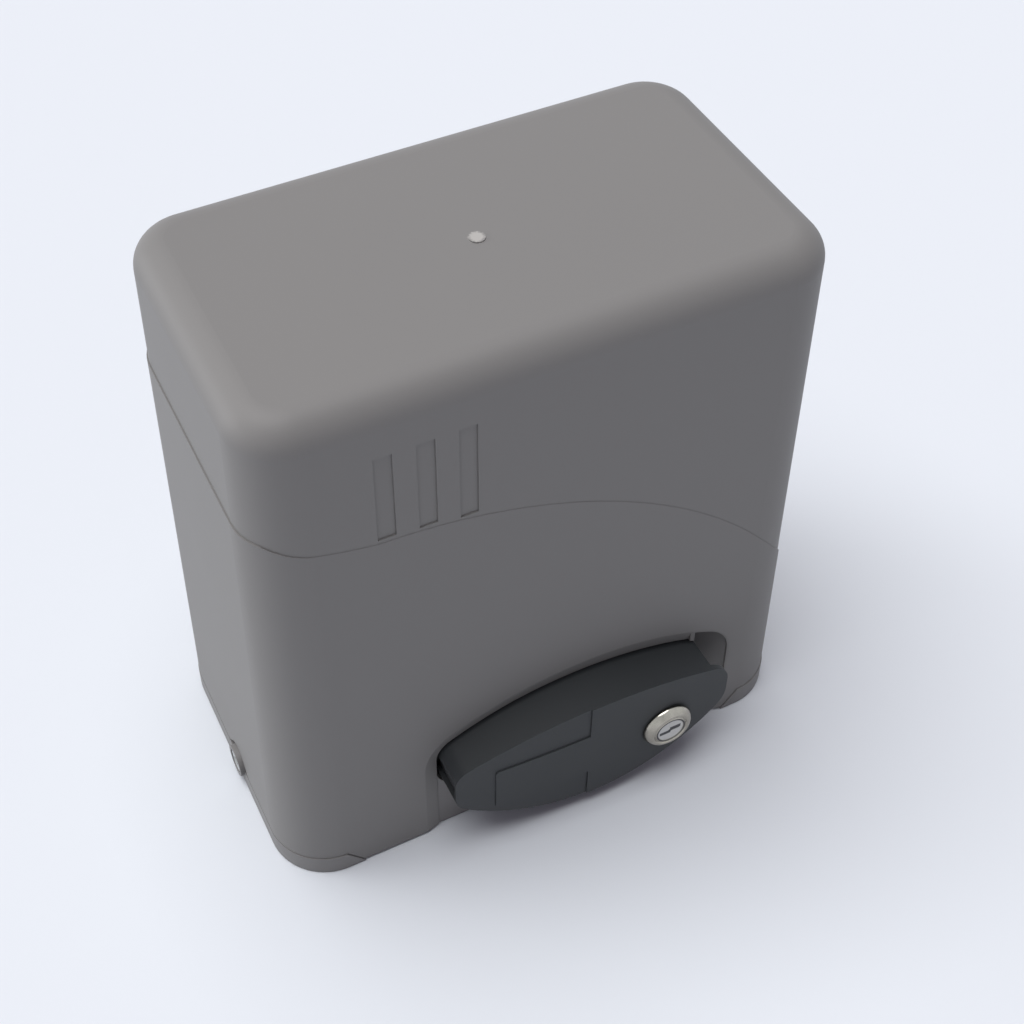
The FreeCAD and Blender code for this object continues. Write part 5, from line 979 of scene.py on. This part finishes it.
@dataclass
class Wiring:
    """The wires between the motor, the board, the capacitor, the transformer and the limit switch.

    Attributes:
        entry_y: How far forward the terminals' wire entries are.
        entry_z: Their height.
        radii: Radii of the motor's and the capacitor's leads, the transformer's and the limit switch's.
        capacitor: Where the capacitor's middle is, along X and Y.
        limit_drop: How far each of the switch's leads hangs below the one before.
        ends: Each terminal's wire entry, from the left.
    """

    entry_y: float = -40.0
    entry_z: float = 138.6
    radii: tuple[float, float, float] = (1.2, 1.0, 0.9)
    capacitor: tuple[float, float] = (-98.25, 30.0)
    limit_drop: float = 2.2
    ends: list[tuple[float, float, float]] = field(init=False)

    def build(self) -> None:
        """Lay every wire."""
        self.ends = [(x, self.entry_y, self.entry_z) for x in terminal_ways()]
        self.motor_leads()
        self.capacitor_leads()
        self.transformer_leads()
        self.limit_leads()

    def motor_leads(self) -> None:
        """Three leads from the end bell's grommet."""
        for k, colour in enumerate(("wire brown", "wire black", "wire blue")):
            way = self.ends[k][0]
            wire(f"motor_lead_{k}", colour, self.radii[0],
                 [(6.0 + 0.9 * k, -23.0 - 0.7 * k, 205.0 + 1.6 * k), (13.0, -31.0 - k, 205.0 + 1.6 * k),
                  (24.0, -44.0 - 2 * k, 195.0), (30.0 + 2 * k, -54.0, 170.0), (34.0 + 4 * k, -55.0, 140.0),
                  (way - 1.0, -48.0, 124.0), (way, -41.0, 126.0), self.ends[k]])

    def capacitor_leads(self) -> None:
        """Two leads from the capacitor's boots."""
        x, y = self.capacitor
        for k, dx in ((3, -6.0), (4, 6.0)):
            way = self.ends[k][0]
            wire(f"capacitor_lead_{k}", "wire white", self.radii[0],
                 [(x + dx, y, 97.0), (x + dx, y - 2.0, 112.0), (-100.0 + dx, 2.0, 124.0),
                  (-88.0, -44.0 + dx / 4, 126.0 + dx / 3), (-52.0, -60.0, 124.0 + dx / 3),
                  (0.0, -60.0, 112.0 + dx / 3), (40.0, -56.0, 106.0 + dx / 3), (way, -46.0, 108.0),
                  (way, -41.0, 124.0), self.ends[k]])

    def transformer_leads(self) -> None:
        """Three leads from the bobbin's first, second and third tags."""
        low, high = box_mm("transformer_coil")
        for k, colour in ((5, "wire red"), (6, "wire red"), (7, "wire black")):
            way = self.ends[k][0]
            x = low.x + 4.0 + (k - 5) * (high.x - low.x - 8.0) / 4
            wire(f"transformer_lead_{k}", colour, self.radii[1],
                 [(x, low.y + 0.2, high.z + 1.2), (x, low.y - 2.0, high.z + 10.0),
                  (x - 3.0, low.y - 14.0, high.z + 24.0), (way + 2.0, -44.0, 100.0), (way, -42.0, 120.0),
                  self.ends[k]])

    def limit_leads(self) -> None:
        """Three leads from the limit switch, round the motor to the board's edge."""
        low, high = box_mm("limit_switch")
        for k, colour in enumerate(("wire white", "wire brown", "wire black")):
            foot = high.z - 7.0 - 2.4 * k
            route = [(64.0, 46.0, 136.0), (100.0, 30.0, 160.0), (117.0, -4.0, 176.0), (121.0, -18.0, 180.0),
                     (125.6, -29.0, 182.0), (122.0, -40.0, 181.0), (112.0, -39.0, 178.0),
                     (109.0, -35.0, 178.0)]
            wire(f"limit_lead_{k}", colour, self.radii[2],
                 [(high.x - 0.5, low.y + 6.0, foot), (high.x + 8.0, low.y + 5.0, foot)]
                 + [(x, y, z - self.limit_drop * k) for x, y, z in route])


PARTS: dict[str, tuple[str, ...]] = {
    "cover grey": ("cover",),
    "base paint": ("base",),
    "lever black": ("release_handle",),
    "die cast": ("gear_housing", "gear_cover", "lower_end_bell", "upper_end_bell"),
    "turned steel": ("rear_output_bearing", "front_output_bearing", "output_shaft", "pinion_key",
                     "clutch_pin", "release_plunger", "plunger_spring", "limit_wand"),
    "turned steel upright": ("worm_bearing", "lower_motor_bearing", "upper_motor_bearing",
                             "handle_hinge_pin"),
    "gear steel": ("rack_pinion", "clutch_ring"),
    "worm steel": ("worm_shaft",),
    "gear bronze": ("worm_wheel",),
    # The brackets are dark as painted shade in the opening behind the handle's neck.
    "bracket steel": ("hinge_bracket", "strike_bracket"),
    "zinc plate": ("cover_screws", "cover_nuts", "levelling_screws", "gear_cover_screws", "housing_bolts",
                   "motor_tie_bolts", "pinion_washer", "pinion_bolt", "lock_nut", "board_screws"),
    "rolled zinc": ("lock_cam",),
    "lock chrome with painted reflections": ("lock_body",),
    "lock face": ("lock_plug",),
    "stack sheet": ("stator_stack", "rotor_core"),
    "core sheet": ("transformer_core",),
    "winding copper": ("stator_windings", "transformer_coil"),
    "black rubber": ("cable_gland", "output_seal"),
    "black plastic": ("rotor_fan", "limit_switch", "capacitor_clip", "board_carrier", "board_chips"),
    "pale plastic": ("run_capacitor", "board_fuse"),
    "board green": ("control_board", "radio_module"),
    "terminal green": ("terminal_blocks",),
    "relay blue": ("motor_relays",)}


def dress(nodes: dict[str, bpy.types.Object]) -> None:
    """Give every carried-over part its material.

    Args:
        nodes: The parts by name.
    """
    finishes = {part: finish for finish, parts in PARTS.items() for part in parts}
    for name, part in nodes.items():
        part.data.materials.clear()
        part.data.materials.append(material(finishes[name]))
        LOG.info("%s is %s", name, finishes[name])


@dataclass
class Studio:
    """The camera, lamps, world and floor.

    Attributes:
        azimuth: The camera's bearing left of the front, in radians.
        elevation: Its height above the level, in radians.
        distance: From the target.
        target: What it looks at.
        roll: Turn about the view, in radians.
        lens: Focal length for a 36 mm sensor.
        shift: Lens shift across and up.
        lights: Name, strength, size and way of the high lamp behind the left, and of the low one there.
        sky: The world's light on the object.
        sky_tint: Its colour.
        daylight: All the light that falls on the open floor.
        backdrop: Colour of the floor and background.
        floor_half: Half the floor's side, in metres.
        floor_drop: How far it lies under the object, in metres.
    """

    azimuth: float = 0.4498
    elevation: float = 0.7783
    distance: float = 753.4
    target: tuple[float, float, float] = (-2.04, 0.0, 197.97)
    roll: float = -0.0039
    lens: float = 60.12
    shift: tuple[float, float] = (0.0353, -0.1118)
    lights: tuple[tuple[str, float, float, Place], ...] = (
        ("key light", 2.75, 50.0, (0.17, -0.12, -0.98)), ("side light", 1.30, 30.0, (0.84, -0.52, -0.17)))
    sky: float = 0.20
    sky_tint: Colour = (1.03, 0.94, 1.07)
    daylight: float = 1.12
    backdrop: Colour = (0.830, 0.871, 0.922)
    floor_half: float = 6.0
    floor_drop: float = 0.0005

    def camera(self) -> None:
        """Place the camera and make it the scene's."""
        data = bpy.data.cameras.new("camera")
        data.lens = self.lens
        data.sensor_width = 36.0
        data.shift_x, data.shift_y = self.shift
        data.clip_start, data.clip_end = 0.01, 20.0
        made = bpy.data.objects.new("camera", data)
        bpy.context.scene.collection.objects.link(made)
        back = Vector((-math.sin(self.azimuth) * math.cos(self.elevation),
                       -math.cos(self.azimuth) * math.cos(self.elevation), math.sin(self.elevation)))
        made.location = (Vector(self.target) + back * self.distance) * MM
        made.rotation_mode = "QUATERNION"
        tilt = (-back).to_track_quat("-Z", "Y")
        made.rotation_quaternion = tilt @ Euler((0.0, 0.0, self.roll)).to_quaternion()
        bpy.context.scene.camera = made

    def lamps(self) -> None:
        """Hang the lamps."""
        for name, strength, size, way in self.lights:
            data = bpy.data.lights.new(name, "SUN")
            data.energy = strength
            data.angle = math.radians(size)
            made = bpy.data.objects.new(name, data)
            made.rotation_mode = "QUATERNION"
            made.rotation_quaternion = Vector(way).to_track_quat("-Z", "Y")
            bpy.context.scene.collection.objects.link(made)

    def world(self) -> None:
        """Light the object softly from all round, before a pale background."""
        made = bpy.data.worlds.new("studio")
        made.use_nodes = True
        tree = made.node_tree
        tree.nodes.clear()
        seen = add_node(tree, "Background", {"Color": (*self.backdrop, 1.0)})
        light = add_node(tree, "Background", {"Color": (*self.sky_tint, 1.0), "Strength": self.sky})
        path = add_node(tree, "LightPath", {}).outputs
        direct = path["Is Camera Ray"]
        for label in ("Is Glossy Ray", "Is Transmission Ray"):
            direct = add_math(tree, "MAXIMUM", direct, path[label])
        mix = add_node(tree, "MixShader", {0: direct, 1: light.outputs[0], 2: seen.outputs[0]})
        add_node(tree, "OutputWorld", {0: mix.outputs[0]})
        bpy.context.scene.world = made

    def floor(self) -> None:
        """Lay a broad pale floor that keeps the object's shadow."""
        mesh = bmesh.new()
        bmesh.ops.create_grid(mesh, x_segments=4, y_segments=4, size=self.floor_half)
        bmesh.ops.translate(mesh, vec=(0.0, 0.0, -self.floor_drop), verts=mesh.verts[:])
        data = bpy.data.meshes.new("floor")
        mesh.to_mesh(data)
        mesh.free()
        made = bpy.data.objects.new("floor", data)
        bpy.context.scene.collection.objects.link(made)
        paint = bpy.data.materials.new("floor")
        paint.use_nodes = True
        feed(paint.node_tree, paint.node_tree.nodes["Principled BSDF"], {
            "Base Color": (*(part / self.daylight for part in self.backdrop), 1.0), "Roughness": 0.9,
            "Specular IOR Level": 0.0})
        data.materials.append(paint)

    def build(self) -> None:
        """Make the whole studio."""
        bpy.context.scene.view_settings.view_transform = "Standard"
        self.camera()
        self.lamps()
        self.world()
        self.floor()


def main() -> None:
    """Build the sub-assemblies in order."""
    logging.basicConfig(level=logging.INFO, format="%(message)s")
    Studio().build()
    dress(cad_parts)
    for assembly in (LockFace(), GearboxDress(), MotorDress(), BoardDress(), PowerDress(), Wiring()):
        assembly.build()
        LOG.info("%s is built", type(assembly).__name__)


if __name__ == "__main__":
    main()
